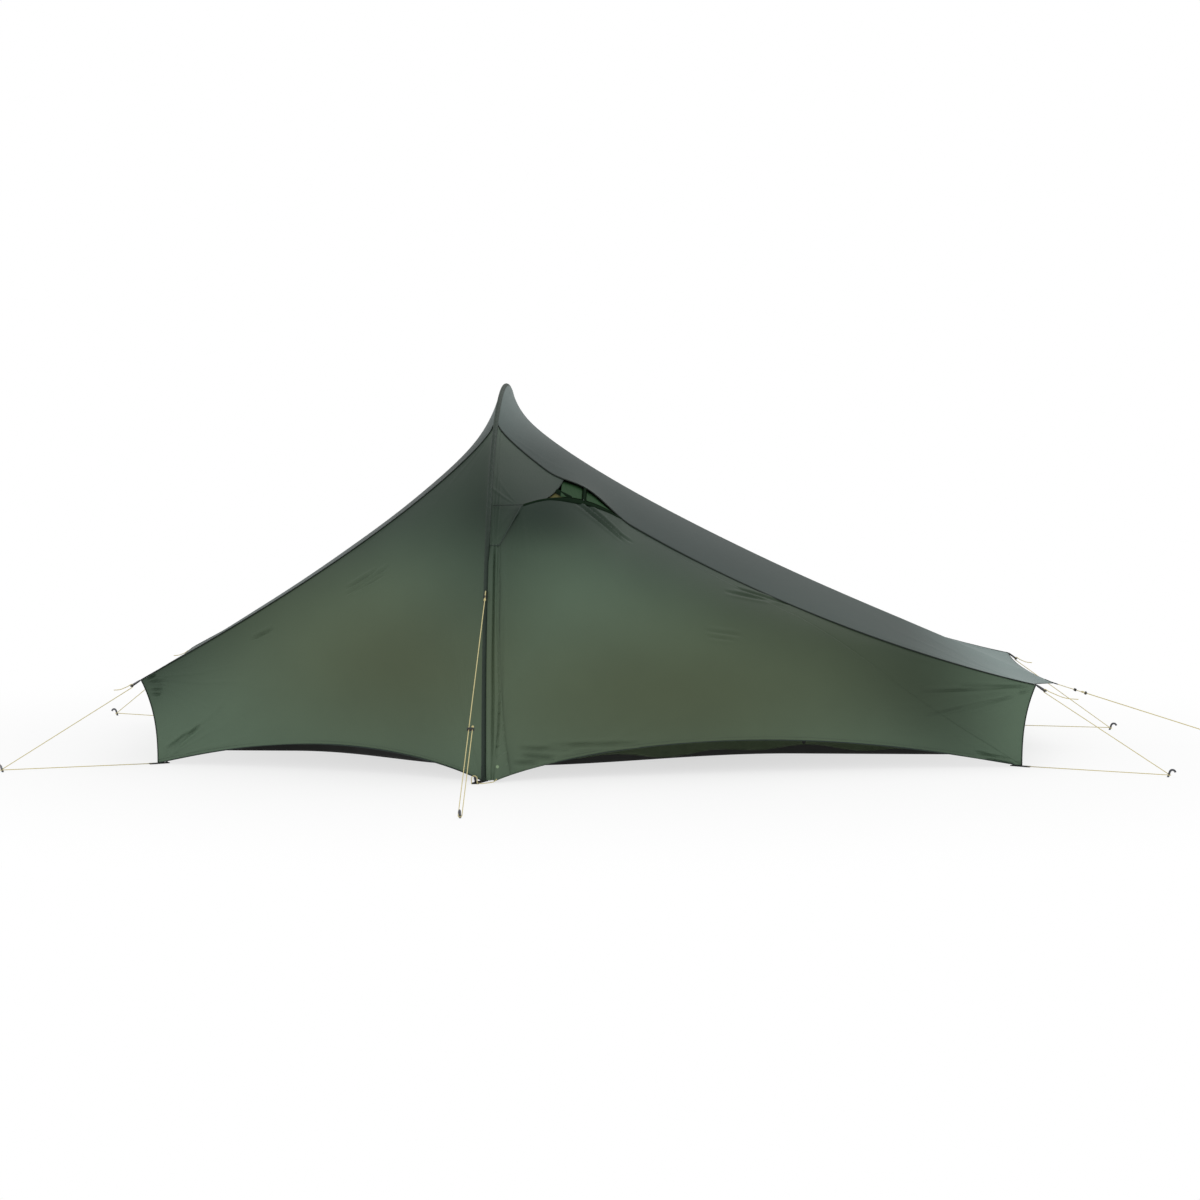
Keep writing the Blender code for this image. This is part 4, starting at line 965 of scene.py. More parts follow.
def coated_ripstop(name, colours, roughness, gloss, open_from):
    """Silicone-coated ripstop nylon: satin, with a faint square grid.

    Light and shade are painted into its colour. The ends are painted lighter, for the light that
    comes through the cloth there and, on the roof, for the sky's sheen. The middle is painted
    darker and warmer where the inner tent behind it shows through. The top and the cloth beside
    the hoop are painted darker as shade. Near the hood the front is painted with the hood's
    shadow, and the top of the crown is painted lighter as a highlight.
    The grid is 6 mm; its threads are drawn a little thicker than real, so that they show.
    """
    tree, place = new_material(name)
    position = place["Object"]
    split = add(tree, "ShaderNodeSeparateXYZ", None, {0: position}).outputs
    away = maths(tree, "ABSOLUTE", split["X"])
    # high: painted shade, darker towards the top, fading out beyond open_from towards the ends.
    level = maths(tree, "MULTIPLY_ADD", away, 0.55, split["Z"])
    high = maths(tree, "MULTIPLY", eased(tree, level, (0.56, 0.90)),
                 eased(tree, split["X"], (open_from, 1.50), (1.0, 0.0)))
    # warm: painted darker, warmer tone where the inner tent behind shows through the cloth.
    warm = maths(tree, "MAXIMUM",
                 blob(tree, position, (-0.24, 0.0, 0.30), (0.80, 4.0, 0.40)),
                 blob(tree, position, (0.50, 0.0, 0.22), (1.15, 4.0, 0.38)))
    # hoop: painted shade beside the hoop.
    hoop = maths(tree, "MULTIPLY", eased(tree, away, (0.0, 0.32), (1.0, 0.0)),
                 eased(tree, split["Z"], (0.22, 0.80)))
    # Painted shadow of the hood on the front of the fly.
    painted_hood_shadow = blob(tree, position, (0.15, -0.55, 0.725), (0.27, 0.80, 0.14))
    # crown: painted highlight at the top of the crown.
    crown = eased(tree, split["Z"], (0.84, 1.05), (0.0, 0.5))
    # open, the base colour, is the painted light of the ends: light through the cloth on the
    # walls, the sky's sheen on the roof.
    colour = colours["open"]
    for amount, key in ((high, "high"), (warm, "warm"), (hoop, "high"), (painted_hood_shadow, "shade"),
                        (crown, "open")):
        colour = blended(tree, amount, colour, colours[key])
    lines = crossed_lines(tree, "MAXIMUM", place["UV"], 0.0062, 30.0)
    weave = maths(tree, "MULTIPLY", noise(tree, place["UV"], 700.0, 1.0), 0.35)
    cloud = ranged(tree, noise(tree, position, 3.2, 3.0), (0.3, 0.7), (0.94, 1.06))
    surface(tree, Base_Color=toned(tree, colour, cloud, ranged(tree, lines, wanted=(1.0, 0.94))),
            Roughness=roughness, IOR=1.40, Specular_IOR_Level=gloss,
            Normal=relief(tree, maths(tree, "ADD", lines, weave), 0.22, 0.0004))


def plain_weave(name, colour, roughness, spacing, sheen=0.04, gloss=0.25):
    """Woven cloth without a coating: matt, with crossing threads that far apart."""
    tree, place = new_material(name)
    threads = crossed_lines(tree, "MULTIPLY", place["UV"], spacing, 1.0)
    cloud = ranged(tree, noise(tree, place["Object"], 9.0, 4.0), (0.3, 0.7), (0.90, 1.08))
    surface(tree, Base_Color=toned(tree, colour[:3], cloud,
                                   ranged(tree, threads, wanted=(0.80, 1.05))),
            Roughness=roughness, IOR=1.5, Specular_IOR_Level=gloss, Sheen_Weight=sheen,
            Sheen_Roughness=0.6, Normal=relief(tree, threads, 0.6, 0.0004))


def braid(name, colour, dark, pitch):
    """Braided sheath: two sets of strands that cross round the cord, matt."""
    tree, place = new_material(name)
    split = add(tree, "ShaderNodeSeparateXYZ", None, {0: place["UV"]}).outputs
    along = maths(tree, "MULTIPLY", split["X"], 2 * math.pi / pitch)
    around = maths(tree, "MULTIPLY", split["Y"], 8 * math.pi)
    strands = [maths(tree, "SINE", maths(tree, way, along, around)) for way in ("ADD", "SUBTRACT")]
    level = ranged(tree, maths(tree, "MAXIMUM", *strands), (-0.6, 1.0))
    surface(tree, Base_Color=blended(tree, level, dark, colour), Roughness=0.75, IOR=1.5,
            Sheen_Weight=0.3, Normal=relief(tree, level, 0.6, 0.0002))


def moulded_plastic(name, colour, roughness):
    """Injection-moulded acetal: fine spark-eroded grain, slightly polished by handling."""
    tree, place = new_material(name)
    rough = ranged(tree, noise(tree, place["Object"], 60.0, 2.0), (0.3, 0.7),
                   (roughness - 0.08, roughness + 0.08))
    grain = noise(tree, place["Object"], 900.0, 2.0)
    surface(tree, Base_Color=colour, Roughness=rough, IOR=1.48,
            Normal=relief(tree, grain, 0.3, 0.0001))


def anodised(name, colour, roughness, scratch):
    """Anodised aluminium: satin metal with drawing lines and light wear in patches."""
    tree, place = new_material(name)
    rough = ranged(tree, noise(tree, place["Object"], scratch, 4.0), (0.3, 0.7),
                   (roughness - 0.07, roughness + 0.10))
    worn = ranged(tree, noise(tree, place["Object"], 45.0, 3.0), (0.58, 0.72), (0.0, 0.5))
    surface(tree, Base_Color=blended(tree, worn, colour, linear("B9BBBD")), Roughness=rough,
            Metallic=1.0)


def carbon_rod(name, colour):
    """Pultruded carbon-fibre rod under clear lacquer: black with fine lengthwise fibres."""
    tree, place = new_material(name)
    stretched = add(tree, "ShaderNodeMapping", None,
                    {"Vector": place["Object"], "Scale": (1.0, 1.0, 0.02)})
    fibres = noise(tree, stretched.outputs[0], 1800.0, 2.0)
    surface(tree, Base_Color=blended(tree, fibres, colour, linear("3A3C3E")), Roughness=0.35,
            IOR=1.5, Coat_Weight=0.6, Coat_Roughness=0.12)


def thread_material(name, colour):
    """Bonded polyester sewing thread: twisted, slightly glossy."""
    tree, place = new_material(name)
    twist = noise(tree, place["Object"], 1500.0, 1.0)
    surface(tree, Base_Color=blended(tree, twist, colour, linear("1C211C")), Roughness=0.5,
            IOR=1.55)


def mesh_netting(name, colour, hole):
    """Sheer nylon inside the vent, drawn opaque: its threads show as a fine grid."""
    tree, place = new_material(name)
    lines = crossed_lines(tree, "MAXIMUM", place["UV"], hole, 6.0)
    surface(tree, Base_Color=blended(tree, lines, colour, linear("1C321F")), Roughness=0.7,
            IOR=1.45, Specular_IOR_Level=0.12)


# Repeated small parts, by Geometry Nodes

def row_tree(name, across):
    """A tree that sets short rods along a path: stitches along it, or zip teeth across it."""
    tree = bpy.data.node_groups.new(name, "GeometryNodeTree")
    sockets = tree.interface
    sockets.new_socket("Path", in_out="INPUT", socket_type="NodeSocketGeometry")
    for label, default in (("Spacing", 0.006), ("Length", 0.0036), ("Thickness", 0.0006)):
        made = sockets.new_socket(label, in_out="INPUT", socket_type="NodeSocketFloat")
        made.default_value = default
        made.subtype = "DISTANCE"
    sockets.new_socket("Finish", in_out="INPUT", socket_type="NodeSocketMaterial")
    sockets.new_socket("Rods", in_out="OUTPUT", socket_type="NodeSocketGeometry")
    given = add(tree, "NodeGroupInput").outputs
    curve = add(tree, "GeometryNodeMeshToCurve", None, {"Mesh": given["Path"]})
    points = add(tree, "GeometryNodeCurveToPoints", {"mode": "LENGTH"},
                 {"Curve": curve.outputs[0], "Length": given["Spacing"]})
    half = maths(tree, "MULTIPLY", given["Thickness"], 0.5)
    rod = add(tree, "GeometryNodeMeshCylinder", {"fill_type": "NGON"},
              {"Vertices": 6, "Radius": half, "Depth": given["Length"]})
    turn = (0.0, math.radians(90), 0.0) if across else points.outputs["Rotation"]
    rods = add(tree, "GeometryNodeInstanceOnPoints", None,
               {"Points": points.outputs["Points"], "Instance": rod.outputs["Mesh"],
                "Rotation": turn})
    real = add(tree, "GeometryNodeRealizeInstances", None, {"Geometry": rods.outputs[0]})
    finished = add(tree, "GeometryNodeSetMaterial", None,
                   {"Geometry": real.outputs[0], "Material": given["Finish"]})
    add(tree, "NodeGroupOutput", None, {"Rods": finished.outputs[0]})
    return tree


def rods_along(name, tree, paths, values):
    """A plain mesh of the tree's rods along several paths."""
    points, edges = [], []
    for path in paths:
        base = len(points)
        points.extend(tuple(p) for p in path)
        edges.extend((base + i, base + i + 1) for i in range(len(path) - 1))
    mesh = bpy.data.meshes.new(name + "_path")
    mesh.from_pydata(points, edges, [])
    guide = placed(name + "_path", mesh)
    grower = guide.modifiers.new("Rods", "NODES")
    grower.node_group = tree
    for item in tree.interface.items_tree:
        if item.in_out == "INPUT" and item.name in values:
            grower[item.identifier] = values[item.name]
    graph = bpy.context.evaluated_depsgraph_get()
    made = bpy.data.meshes.new_from_object(guide.evaluated_get(graph), depsgraph=graph)
    bpy.data.objects.remove(guide)
    return placed(name, made)


# Finishing a piece

def across_fold(obj):
    """Works out the band across the door's fold, which is not used, and bakes the piece's
    transform.
    """
    high, low = fold_line()
    along, middle = (low - high).normalized(), mix(high, low, 0.5)
    away = hoop_point(ZIP_TOP / 2, ZIP_EDGE) - middle
    away = (away - along * away.dot(along)).normalized()
    start, end = (middle + away * reach for reach in FOLD_BAND)
    tuple(start)
    tuple(end)
    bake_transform(obj)


def finish_piece(obj, material, body, slot, *nodes):
    """Gives a piece its material and the body that it rides on, and hides the CAD parts that it
    stands for.

    A piece on the body "fold" gets no body: its transform is only baked.
    """
    if material:
        obj.data.materials.clear()
        obj.data.materials.append(bpy.data.materials[material])
    if body == "fold":
        across_fold(obj)
    else:
        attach(obj, body)
    if nodes:
        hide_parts(*nodes)
    return obj


def make_sheet(name, flat_grid, material, slot, nodes=(), heights=(), low=SEWN, body="tent",
               keep=None, thickness=None):
    """A cloth sheet; the size and area of its flat cut are worked out from the grid before it is
    creased, and not used.
    """
    grid = creased(flat_grid, heights, low) if heights else flat_grid
    obj = sheet_piece(name, grid, thickness or bpy.context.scene.tent_cloth.thickness, keep)
    finish_piece(obj, material, body, slot, *nodes)
    flat, area = cut_size(flat_grid)
    if keep is not None:
        area = float((cell_areas(flat_grid) * keep).sum())
    return obj


def trim_piece(name, paths, half_width, half_height, material, slot="wall_cloth",
               body="tent", sides=8):
    """Rounded trim along several paths; each path is (points, facing directions)."""
    obj = joined(name, [sweep(p, half_width, half_height, f, sides) for p, f in paths])
    return finish_piece(obj, material, body, slot)


def lifted(points, direction, distance):
    return as_array(points) + unit(np.array(tuple(direction), float)) * distance


# Settings that a user would change

def length_setting(name, description, default, low, high):
    return bpy.props.FloatProperty(name=name, description=description, default=default, min=low,
                                   max=high, unit="LENGTH", precision=4)


def colour_setting(name, description, code):
    return bpy.props.FloatVectorProperty(name=name, description=description, size=3,
                                         default=linear(code, False), subtype="COLOR",
                                         min=0, max=1)


class TentClothSettings(bpy.types.PropertyGroup):
    thickness: length_setting(
        "Cloth thickness", "Thickness that the fly and inner tent are drawn with",
        0.0006, 0.0002, 0.001)
    crease_depth: bpy.props.FloatProperty(
        name="Crease depth", description="Factor on the height of every crease and fold",
        default=1.0, min=0.0, max=2.0)
    binding_width: length_setting(
        "Binding width", "Width of the bound seams and rolled hems", 0.0038, 0.002, 0.010)
    stitch_spacing: length_setting(
        "Stitch spacing",
        "Distance from stitch to stitch; real ones are 3 mm, too fine to show",
        0.006, 0.003, 0.02)
    # These colours hold painted light. The ends are painted lighter: light through the cloth on
    # the walls, the sky's sheen on the roof. The top and the hoop are painted darker as shade, and
    # the middle is painted darker and warmer where the inner tent shows through.
    wall_open: colour_setting(
        "Wall, ends", "Colour of the walls where most light comes through", "5F7460")
    wall_high: colour_setting("Wall, top", "Colour of the walls near the crown", "2A3A2E")
    wall_warm: colour_setting(
        "Wall, middle", "Colour of the walls in front of the inner tent", "515C44")
    roof_open: colour_setting("Roof, ends", "Colour of the roof at its ends", "7C8C89")
    roof_high: colour_setting("Roof, crown", "Colour of the roof at the hoop", "2C3935")
    roof_warm: colour_setting("Roof, middle", "Colour of the roof above the inner tent", "42524B")
    inner: colour_setting("Inner tent", "Colour of the inner tent's breathable cloth", "9C7F2E")


class TentFittingSettings(bpy.types.PropertyGroup):
    cord_colour: colour_setting("Cord", "Colour of the guylines and loops", "E9DCA0")
    braid_pitch: length_setting(
        "Braid pitch", "Length of one turn of a strand round the cord", 0.008, 0.002, 0.02)
    tooth_spacing: length_setting(
        "Zip tooth spacing", "Distance between turns of the zip's coil", 0.0024, 0.001, 0.01)
    webbing_pitch: length_setting(
        "Webbing pitch", "Distance between the ribs of the webbing", 0.0018, 0.0005, 0.005)


class TentStageSettings(bpy.types.PropertyGroup):
    lens: bpy.props.FloatProperty(
        name="Lens", description="Focal length on a 36 mm sensor", default=75.0, min=20, max=200)
    sky: bpy.props.FloatProperty(
        name="Sky strength", description="Strength of the even light from all sides",
        default=0.72, min=0.0, max=2.0)
    lamp: bpy.props.FloatProperty(
        name="Lamp power", description="Power of the large soft lamp above", default=45.0,
        min=0, max=2000, subtype="POWER")


# Guylines

def cord_piece(name, route):
    """A guyline along a route; its length is worked out but not used."""
    route = as_array(route)
    obj = new_piece(name + "_cord", *sweep(route, CORD_RADIUS, CORD_RADIUS, sides=10))
    finish_piece(obj, BRAID, "tent", "guyline_cord", name + "_guyline")
    length = float(np.linalg.norm(np.diff(route, axis=0), axis=1).sum())
    tuple(route[0])
    [tuple(p) for p in route]


def barrel_knot(centre, axis, turns=3, per_turn=14):
    """Path of a cord wound round itself."""
    axis = Vector(axis).normalized()
    side = axis.cross(UP if abs(axis.z) < 0.9 else Vector((1, 0, 0))).normalized()
    other = axis.cross(side)
    points = []
    for k in range(turns * per_turn + 1):
        angle = 2 * math.pi * k / per_turn
        along = (k / per_turn - turns / 2) * CORD_DIAMETER * 0.95
        out = side * math.cos(angle) + other * math.sin(angle)
        points.append(Vector(centre) + axis * along + out * CORD_DIAMETER * 0.80)
    return points


def ring_path(centre, normal, radius, stretch=1.0, along=None, count=28):
    """Closed round or oval path; its last point meets its first."""
    normal = Vector(normal).normalized()
    along = Vector(along) if along is not None else UP
    along = (along - normal * along.dot(normal)).normalized()
    side = normal.cross(along)
    return [Vector(centre) + (along * math.cos(a) * stretch + side * math.sin(a)) * radius
            for a in (2 * math.pi * k / count for k in range(count + 1))]


def peg_axis(away):
    return (away * math.sin(PEG_LEAN) + UP * math.cos(PEG_LEAN)).normalized()


def cord_turn_centre(place, away):
    axis = peg_axis(away)
    return place + axis * (PEG_CORD_HEIGHT / axis.z)


def line_route(start, place, lock_at):
    """A guyline from the fly to its peg, doubled below its lock, as in the CAD."""
    away = Vector((place.x - start.x, place.y - start.y, 0)).normalized()
    turn = cord_turn_centre(place, away)
    down = (turn - start).normalized()
    side = down.cross(UP).normalized()
    at_peg = turn + side * CORD_TURN
    down = (at_peg - start).normalized()
    lock = start + down * lock_at
    route = straight(start, lock, 8) + straight(lock, at_peg, 4)[1:-1]
    route += half_turn(turn, side, down, CORD_TURN, 16)
    back = -side * 2 * CORD_TURN
    high, low = lock + back - down * KNOT_REACH, at_peg + back
    route += straight(low, lock + back, 4)[1:] + [high]
    return route, down, high


def corner_route(end, side, peg_place, tail):
    """A corner's guyline: foot, peg, line lock and loose tail, as in the CAD."""
    top, bottom = roof(end, 1.0, side), hem(end, side, 1.0)
    place = Vector((*peg_place, 0))
    away = Vector((place.x - bottom.x, place.y - bottom.y, 0)).normalized()
    turn = cord_turn_centre(place, away)
    pull = (turn - top).normalized()
    rise = (UP - pull * pull.z).normalized()
    bar = top + pull * LOCK_LENGTH
    start = bottom + away * (FOOT_REACH - FOOT_NOTCH + 2 * GAP)
    start.z = FOOT_LEVEL + FOOT_THICKNESS / 2 + GAP
    strand = (turn - start).normalized()
    out = (strand + pull).normalized()
    across = out.cross(UP).normalized()
    if across.y * side < 0:
        across = -across
    low_turn = half_turn(turn, across, out, CORD_TURN, 16)
    high_turn = half_turn(bar, -rise, -pull, CORD_TURN, 16)
    leave = high_turn[-1] + pull * LOCK_BAR * 2
    level, droop = Vector((end.sign, 0, 0)), UP * (TAIL_DROOP * tail)
    loose = smooth_curve([leave, leave + level * tail * 0.5 - droop * 0.8,
                          leave + level * tail * 0.95 - droop], 6)
    return (straight(start, low_turn[0], 3)[:-1] + low_turn
            + straight(low_turn[-1], high_turn[0], 6)[1:-1] + high_turn + loose)


class TENT_OT_guylines(bpy.types.Operator):
    """Make the seven guylines with their knots, loops and rings"""
    bl_idname = "tent.guylines"
    bl_label = "Guylines"

    def execute(self, context):
        for end_name, end in ENDS:
            for side_name, side in SIDES:
                name = f"{end_name}_{side_name}"
                tail = LONG_TAIL if name == "right_front" else SHORT_TAIL
                cord_piece(name, corner_route(end, side, PEG_PLACES[name], tail))
        for name, side in SIDES:
            tie = hoop_point(hoop_length_at(HOOP_GUY_HEIGHT), 0.0, side)
            outward = (tie - Vector((0, side * LEG_CENTRE, 0))).normalized()
            start = tie + outward * (SLEEVE_RADIUS + CORD_RADIUS)
            self.line(name, start, Vector((HOOP_PEG_SHIFT, side * HOOP_PEG_REACH, 0)),
                      HOOP_LOCK_AT, outward)
        start = roof(RIGHT, 1.0, 0.0) + Vector((2 * GAP, 0, 0))
        self.line("end", start, Vector((END_PEG_REACH, 0, 0)), END_LOCK_AT, Vector((1, 0, 0)))
        return {"FINISHED"}

    def line(self, name, start, place, lock_at, outward):
        route, down, high = line_route(start, place, lock_at)
        knots = [(barrel_knot(high + down * CORD_RADIUS, down), None)]
        trims, others = [], [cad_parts[name + "_lock"]]
        if name != "end":
            loop = ring_path(start + down * LOOP_AT, outward.cross(down), LOOP_RADIUS,
                             stretch=LOOP_STRETCH, along=down)
            knots += [(barrel_knot(start + down * LOOP_KNOT_AT, down, turns=4), None),
                      (loop, None)]
            ring = ring_path(start + down * RING_AT, down, RING_RADIUS)
            trims.append(trim_piece(name + "_cord_ring", [(ring, None)], RING_SECTION,
                                    RING_SECTION, "Moulded acetal, fittings", "black_plastic"))
        trims.append(trim_piece(name + "_cord_knots", knots, CORD_RADIUS, CORD_RADIUS, BRAID,
                                "guyline_cord", sides=10))
        if name == "end":
            others.append(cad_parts["end_guy_toggle"])
            tab = [roof(RIGHT, s, 0.0) for s in (0.984, 0.990, 0.996)]
            tab += [start + down * t for t in (0.001, 0.011)]
            trims.append(trim_piece("end_tab", [(tab, [(0, 0, 1)] * 5)], 0.0050, 0.0016,
                                    WEBBING, "webbing"))
        cord_piece(name, route)


# Fly

class TENT_OT_roof(bpy.types.Operator):
    """Make the two halves of the roof as saddle-shaped sheets"""
    bl_idname = "tent.roof"
    bl_label = "Roof"

    def execute(self, context):
        for name, end in ENDS:
            columns = 150 if end is LEFT else 220
            grid = np.array([[tuple(roof(end, s, v)) for s in steps(columns, 1.2)]
                             for v in np.linspace(-1, 1, 97)])
            middle = roof(end, 0.55, 0.0)
            rows = []
            for _, side in SIDES:
                rows += [(roof(end, 1.0, side), middle, 0.55, 0.30, 0.0050, 17, side),
                         (roof(end, 0.0, side), middle, 0.7, 0.16, 0.0016, 13, 2 + side)]
            rows.append((roof(end, 0.0, 0.0), middle, 0.8, 0.13, 0.0018, 15, 0.5))
            make_sheet(name + "_roof", grid, "Coated ripstop nylon, roof", "roof_cloth",
                       ["roof_panel_" + name], [slack(grid, 0.0014, 1.0 + end.sign)]
                       + fans(grid, *rows))
        return {"FINISHED"}


class TENT_OT_walls(bpy.types.Operator):
    """Make the fixed walls of the fly, with tension creases from the pulled corners"""
    bl_idname = "tent.walls"
    bl_label = "Walls"

    def execute(self, context):
        for end_name, end, side_name, side in (("left", LEFT, "front", FRONT),
                                               ("left", LEFT, "rear", REAR),
                                               ("right", RIGHT, "rear", REAR)):
            columns, rows = (260, 170) if side == FRONT else (160, 100)
            grid = wall_grid(end, side, columns, rows)
            make_sheet(f"{end_name}_{side_name}_wall", grid, WALL_CLOTH, "wall_cloth",
                       [f"{side_name}_wall_{end_name}"], self.wall_creases(grid, end, side),
                       HEMMED)
        across, up = fixed_wall_shares(260, 48)
        grid = sampled(whole_wall(), across, up)
        # Its lowest rows lie just behind the door's cloth.
        grid[..., 1] += 0.0008 * np.clip(1 - 10 * np.linspace(0, 1, 49), 0, 1)[:, None]
        make_sheet("right_front_wall", grid, WALL_CLOTH, "wall_cloth", ["front_wall_right"],
                   [sampled(right_wall_heights(), across, up)], HEMMED, "fold")
        for name, end in ENDS:
            grid = end_wall_grid(end, 110, 50)
            rows = []
            for _, side in SIDES:
                x, y = end.sign * end.front, side * end.half_width
                rows += [((x, y, end.corner_height), (x, 0, 0.05), 0.5, 0.22, 0.0030, 15, side),
                         ((x, y, 0), (x, 0, 0.16), 0.5, 0.16, 0.0026, 13, side)]
            make_sheet(name + "_end_wall", grid, WALL_CLOTH, "wall_cloth", ["end_wall_" + name],
                       [slack(grid, 0.0010, 5.0)] + fans(grid, *rows), HEMMED)
        return {"FINISHED"}

    def wall_creases(self, grid, end, side):
        middle = mix(seam(end, side, 0.45), hem(end, side, 0.45), 0.5)
        upper = hoop_point(0.40, end.sign * 0.10, side)
        heights = fans(grid,
                       (hem(end, side, 1.0), middle, 0.45, 0.24, 0.0036, 29, side),
                       (seam(end, side, 1.0), middle, 0.60, 0.20, 0.0040, 37, 1 + side),
                       (hem(end, side, 0.0), upper, 0.34, 0.30, 0.0056, 27, 2 + side),
                       (seam(end, side, 0.0), middle, 0.45, 0.15, 0.0016, 25, 3))
        heights.append(slack(grid, 0.0016, 2.0 + end.sign + side))
        if end is LEFT:
            heights += [pinches(grid, LEFT_CORNER_LINES, 0.0040, 0.0080),
                        pinches(grid, LEFT_WALL_LINES, 0.0046, 0.0050)]
        return heights


@functools.cache
def right_wall_heights():
    """Creases of the whole right front wall, shared by the door and the fixed wall."""
    grid = whole_wall()
    foot = hem(RIGHT, FRONT, 0.0, ZIP_EDGE)
    heights = fans(grid,
                   (seam(RIGHT, FRONT, 1.0), (1.0, -0.52, 0.15), 0.45, 0.34, 0.0042, 33, 0.4),
                   (hem(RIGHT, FRONT, 1.0), (0.9, -0.6, 0.2), 0.35, 0.26, 0.0036, 27, 1.4),
                   (foot, (0.30, -0.72, 0.06), 0.22, 0.40, 0.0050, 41, 2.0))
    for lines, width, depth in ((VENT_LINES, 0.0040, 0.0058),
                                (RIGHT_CORNER_LINES, 0.0038, 0.0062),
                                (RIGHT_SEAM_LINES, 0.0046, 0.0030),
                                (RIGHT_HEM_LINES, 0.0046, 0.0085)):
        heights.append(pinches(grid, lines, width, depth))
    return sum(heights) + slack(grid, 0.0016, 0.5)


def leg_folds(grid, reach, depth, phase):
    """Lengthwise folds beside a sheet's left edge, wider apart at its foot."""
    off = cloth_uv(grid)[..., 0]
    v = np.linspace(0, 1, grid.shape[0])[:, None]
    spread = 1.25 - 0.45 * v
    folds = 0
    for place, size, turn in ((0.18, 1.0, 0.0), (0.46, 0.8, 1.1), (0.78, 0.55, 2.3)):
        centre = reach * place * spread + 0.0022 * np.sin(9 * v + turn + phase)
        strength = size * (0.6 + 0.4 * np.sin(5.5 * v + 2 * turn + phase))
        folds = folds + strength * np.exp(-((off - centre) / (reach * 0.10)) ** 2)
    return depth * (folds - 0.25 * np.exp(-(off / reach) ** 2))


class TENT_OT_door(bpy.types.Operator):
    """Make the door panel, with folds below its peak, along its zip and above its hem"""
    bl_idname = "tent.door"
    bl_label = "Door"

    def execute(self, context):
        columns, rows = (14, 50, 260), 150
        grid = door_grid(*columns, rows)
        across, up = door_shares(*columns).T
        rise = np.linspace(0, 1, rows + 1)[:, None]
        heights = fans(grid, (Vector(DOOR_PEAK), (0.10, -0.66, 0.45), 0.55, 0.13, 0.0026, 25, 0.6))
        heights += [leg_folds(grid, 0.040, 0.0050, 0.7),
                    sampled(right_wall_heights(), across[None], rise * up[None])]
        # Beyond the vent the upper edge is the fold, where the creases run on.
        on_fold = np.clip((np.arange(len(across)) - sum(columns[:2])) / 12, 0, 1)[None]
        make_sheet("door_cloth", grid, WALL_CLOTH, "wall_cloth", ["door_panel"], heights,
                   (0.5, 0, 1, on_fold), "fold")
        return {"FINISHED"}


def on_path(path, marks, places):
    """Points of a path at these places, counted by its marks."""
    return [Vector([float(np.interp(place, marks, path[:, k])) for k in range(3)])
            for place in places]


def edge_part(first, last, count):
    """Points of the door's upper edge beyond its peak, between two of its sixty steps."""
    edge = as_array(door_top(12, 60))[12:]
    return on_path(edge, np.arange(len(edge)), np.linspace(first, last, count + 1))


class TENT_OT_vent(bpy.types.Operator):
    """Make the hood over the door's peak, the vent's panels and lining and the prop's pocket"""
    bl_idname = "tent.vent"
    bl_label = "Hood and vent"

    def execute(self, context):
        grid = coons(*hood_edges(80, 90))
        heights = fans(grid, (Vector(DOOR_PEAK), (0.02, -0.60, 0.78), 0.5, 0.14, 0.0022, 13, 0.3),
                       (grid[0, 0], (0.06, -0.60, 0.76), 0.5, 0.11, 0.0040, 15, 1.3))
        heights += [leg_folds(grid, 0.030, 0.0022, 1.9), slack(grid, 0.0010, 3.0)]
        make_sheet("vent_hood_cloth", grid, WALL_CLOTH, "wall_cloth", ["vent_hood"], heights,
                   (0, 0, 0.4, 1))
        low, high = (np.array(corner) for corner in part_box("vent_prop"))
        centre = (low[0] + high[0]) / 2
        edge = as_array(edge_part(0, 60, 60)) + (0, 0.014, 0.002)
        for name, start, stop in (("left", HOOD_REACH - 0.003, centre - 0.0055),
                                  ("right", centre + 0.0055, VENT_REACH)):
            across = np.linspace(start, stop, 25)
            bottom = on_path(edge, edge[:, 0], across)
            top = [seam(RIGHT, FRONT, station_of(RIGHT, x)) + Vector((0, 0.012, -0.004))
                   for x in across]
            make_sheet("vent_panel_" + name, between(bottom, top, 20), "Translucent nylon, vent",
                       "inner_cloth", thickness=PANEL_THICKNESS)
        top = [p + Vector((0, 0.010, -0.002)) for p in hood_edges(8, 28)[3][:22]]
        bottom = [p + Vector((0, 0.012, -0.004)) for p in edge_part(0, 29, 21)]
        make_sheet("vent_lining", between(bottom, top, 12), "Breathable nylon, vent lining",
                   "inner_cloth", thickness=LINING_THICKNESS)
        rod = [mix(Vector((centre, low[1], low[2])), Vector((centre, high[1], high[2])), t)
               for t in np.linspace(-0.02, 0.97, 12)]
        trim_piece("prop_pocket", [(rod, [(1, 0, 0)] * 12)], 0.0040, 0.0044, VENT_TAPE_AND_SHADE,
                   body="prop", sides=16)
        return {"FINISHED"}


# Pole sleeve, zip and flap

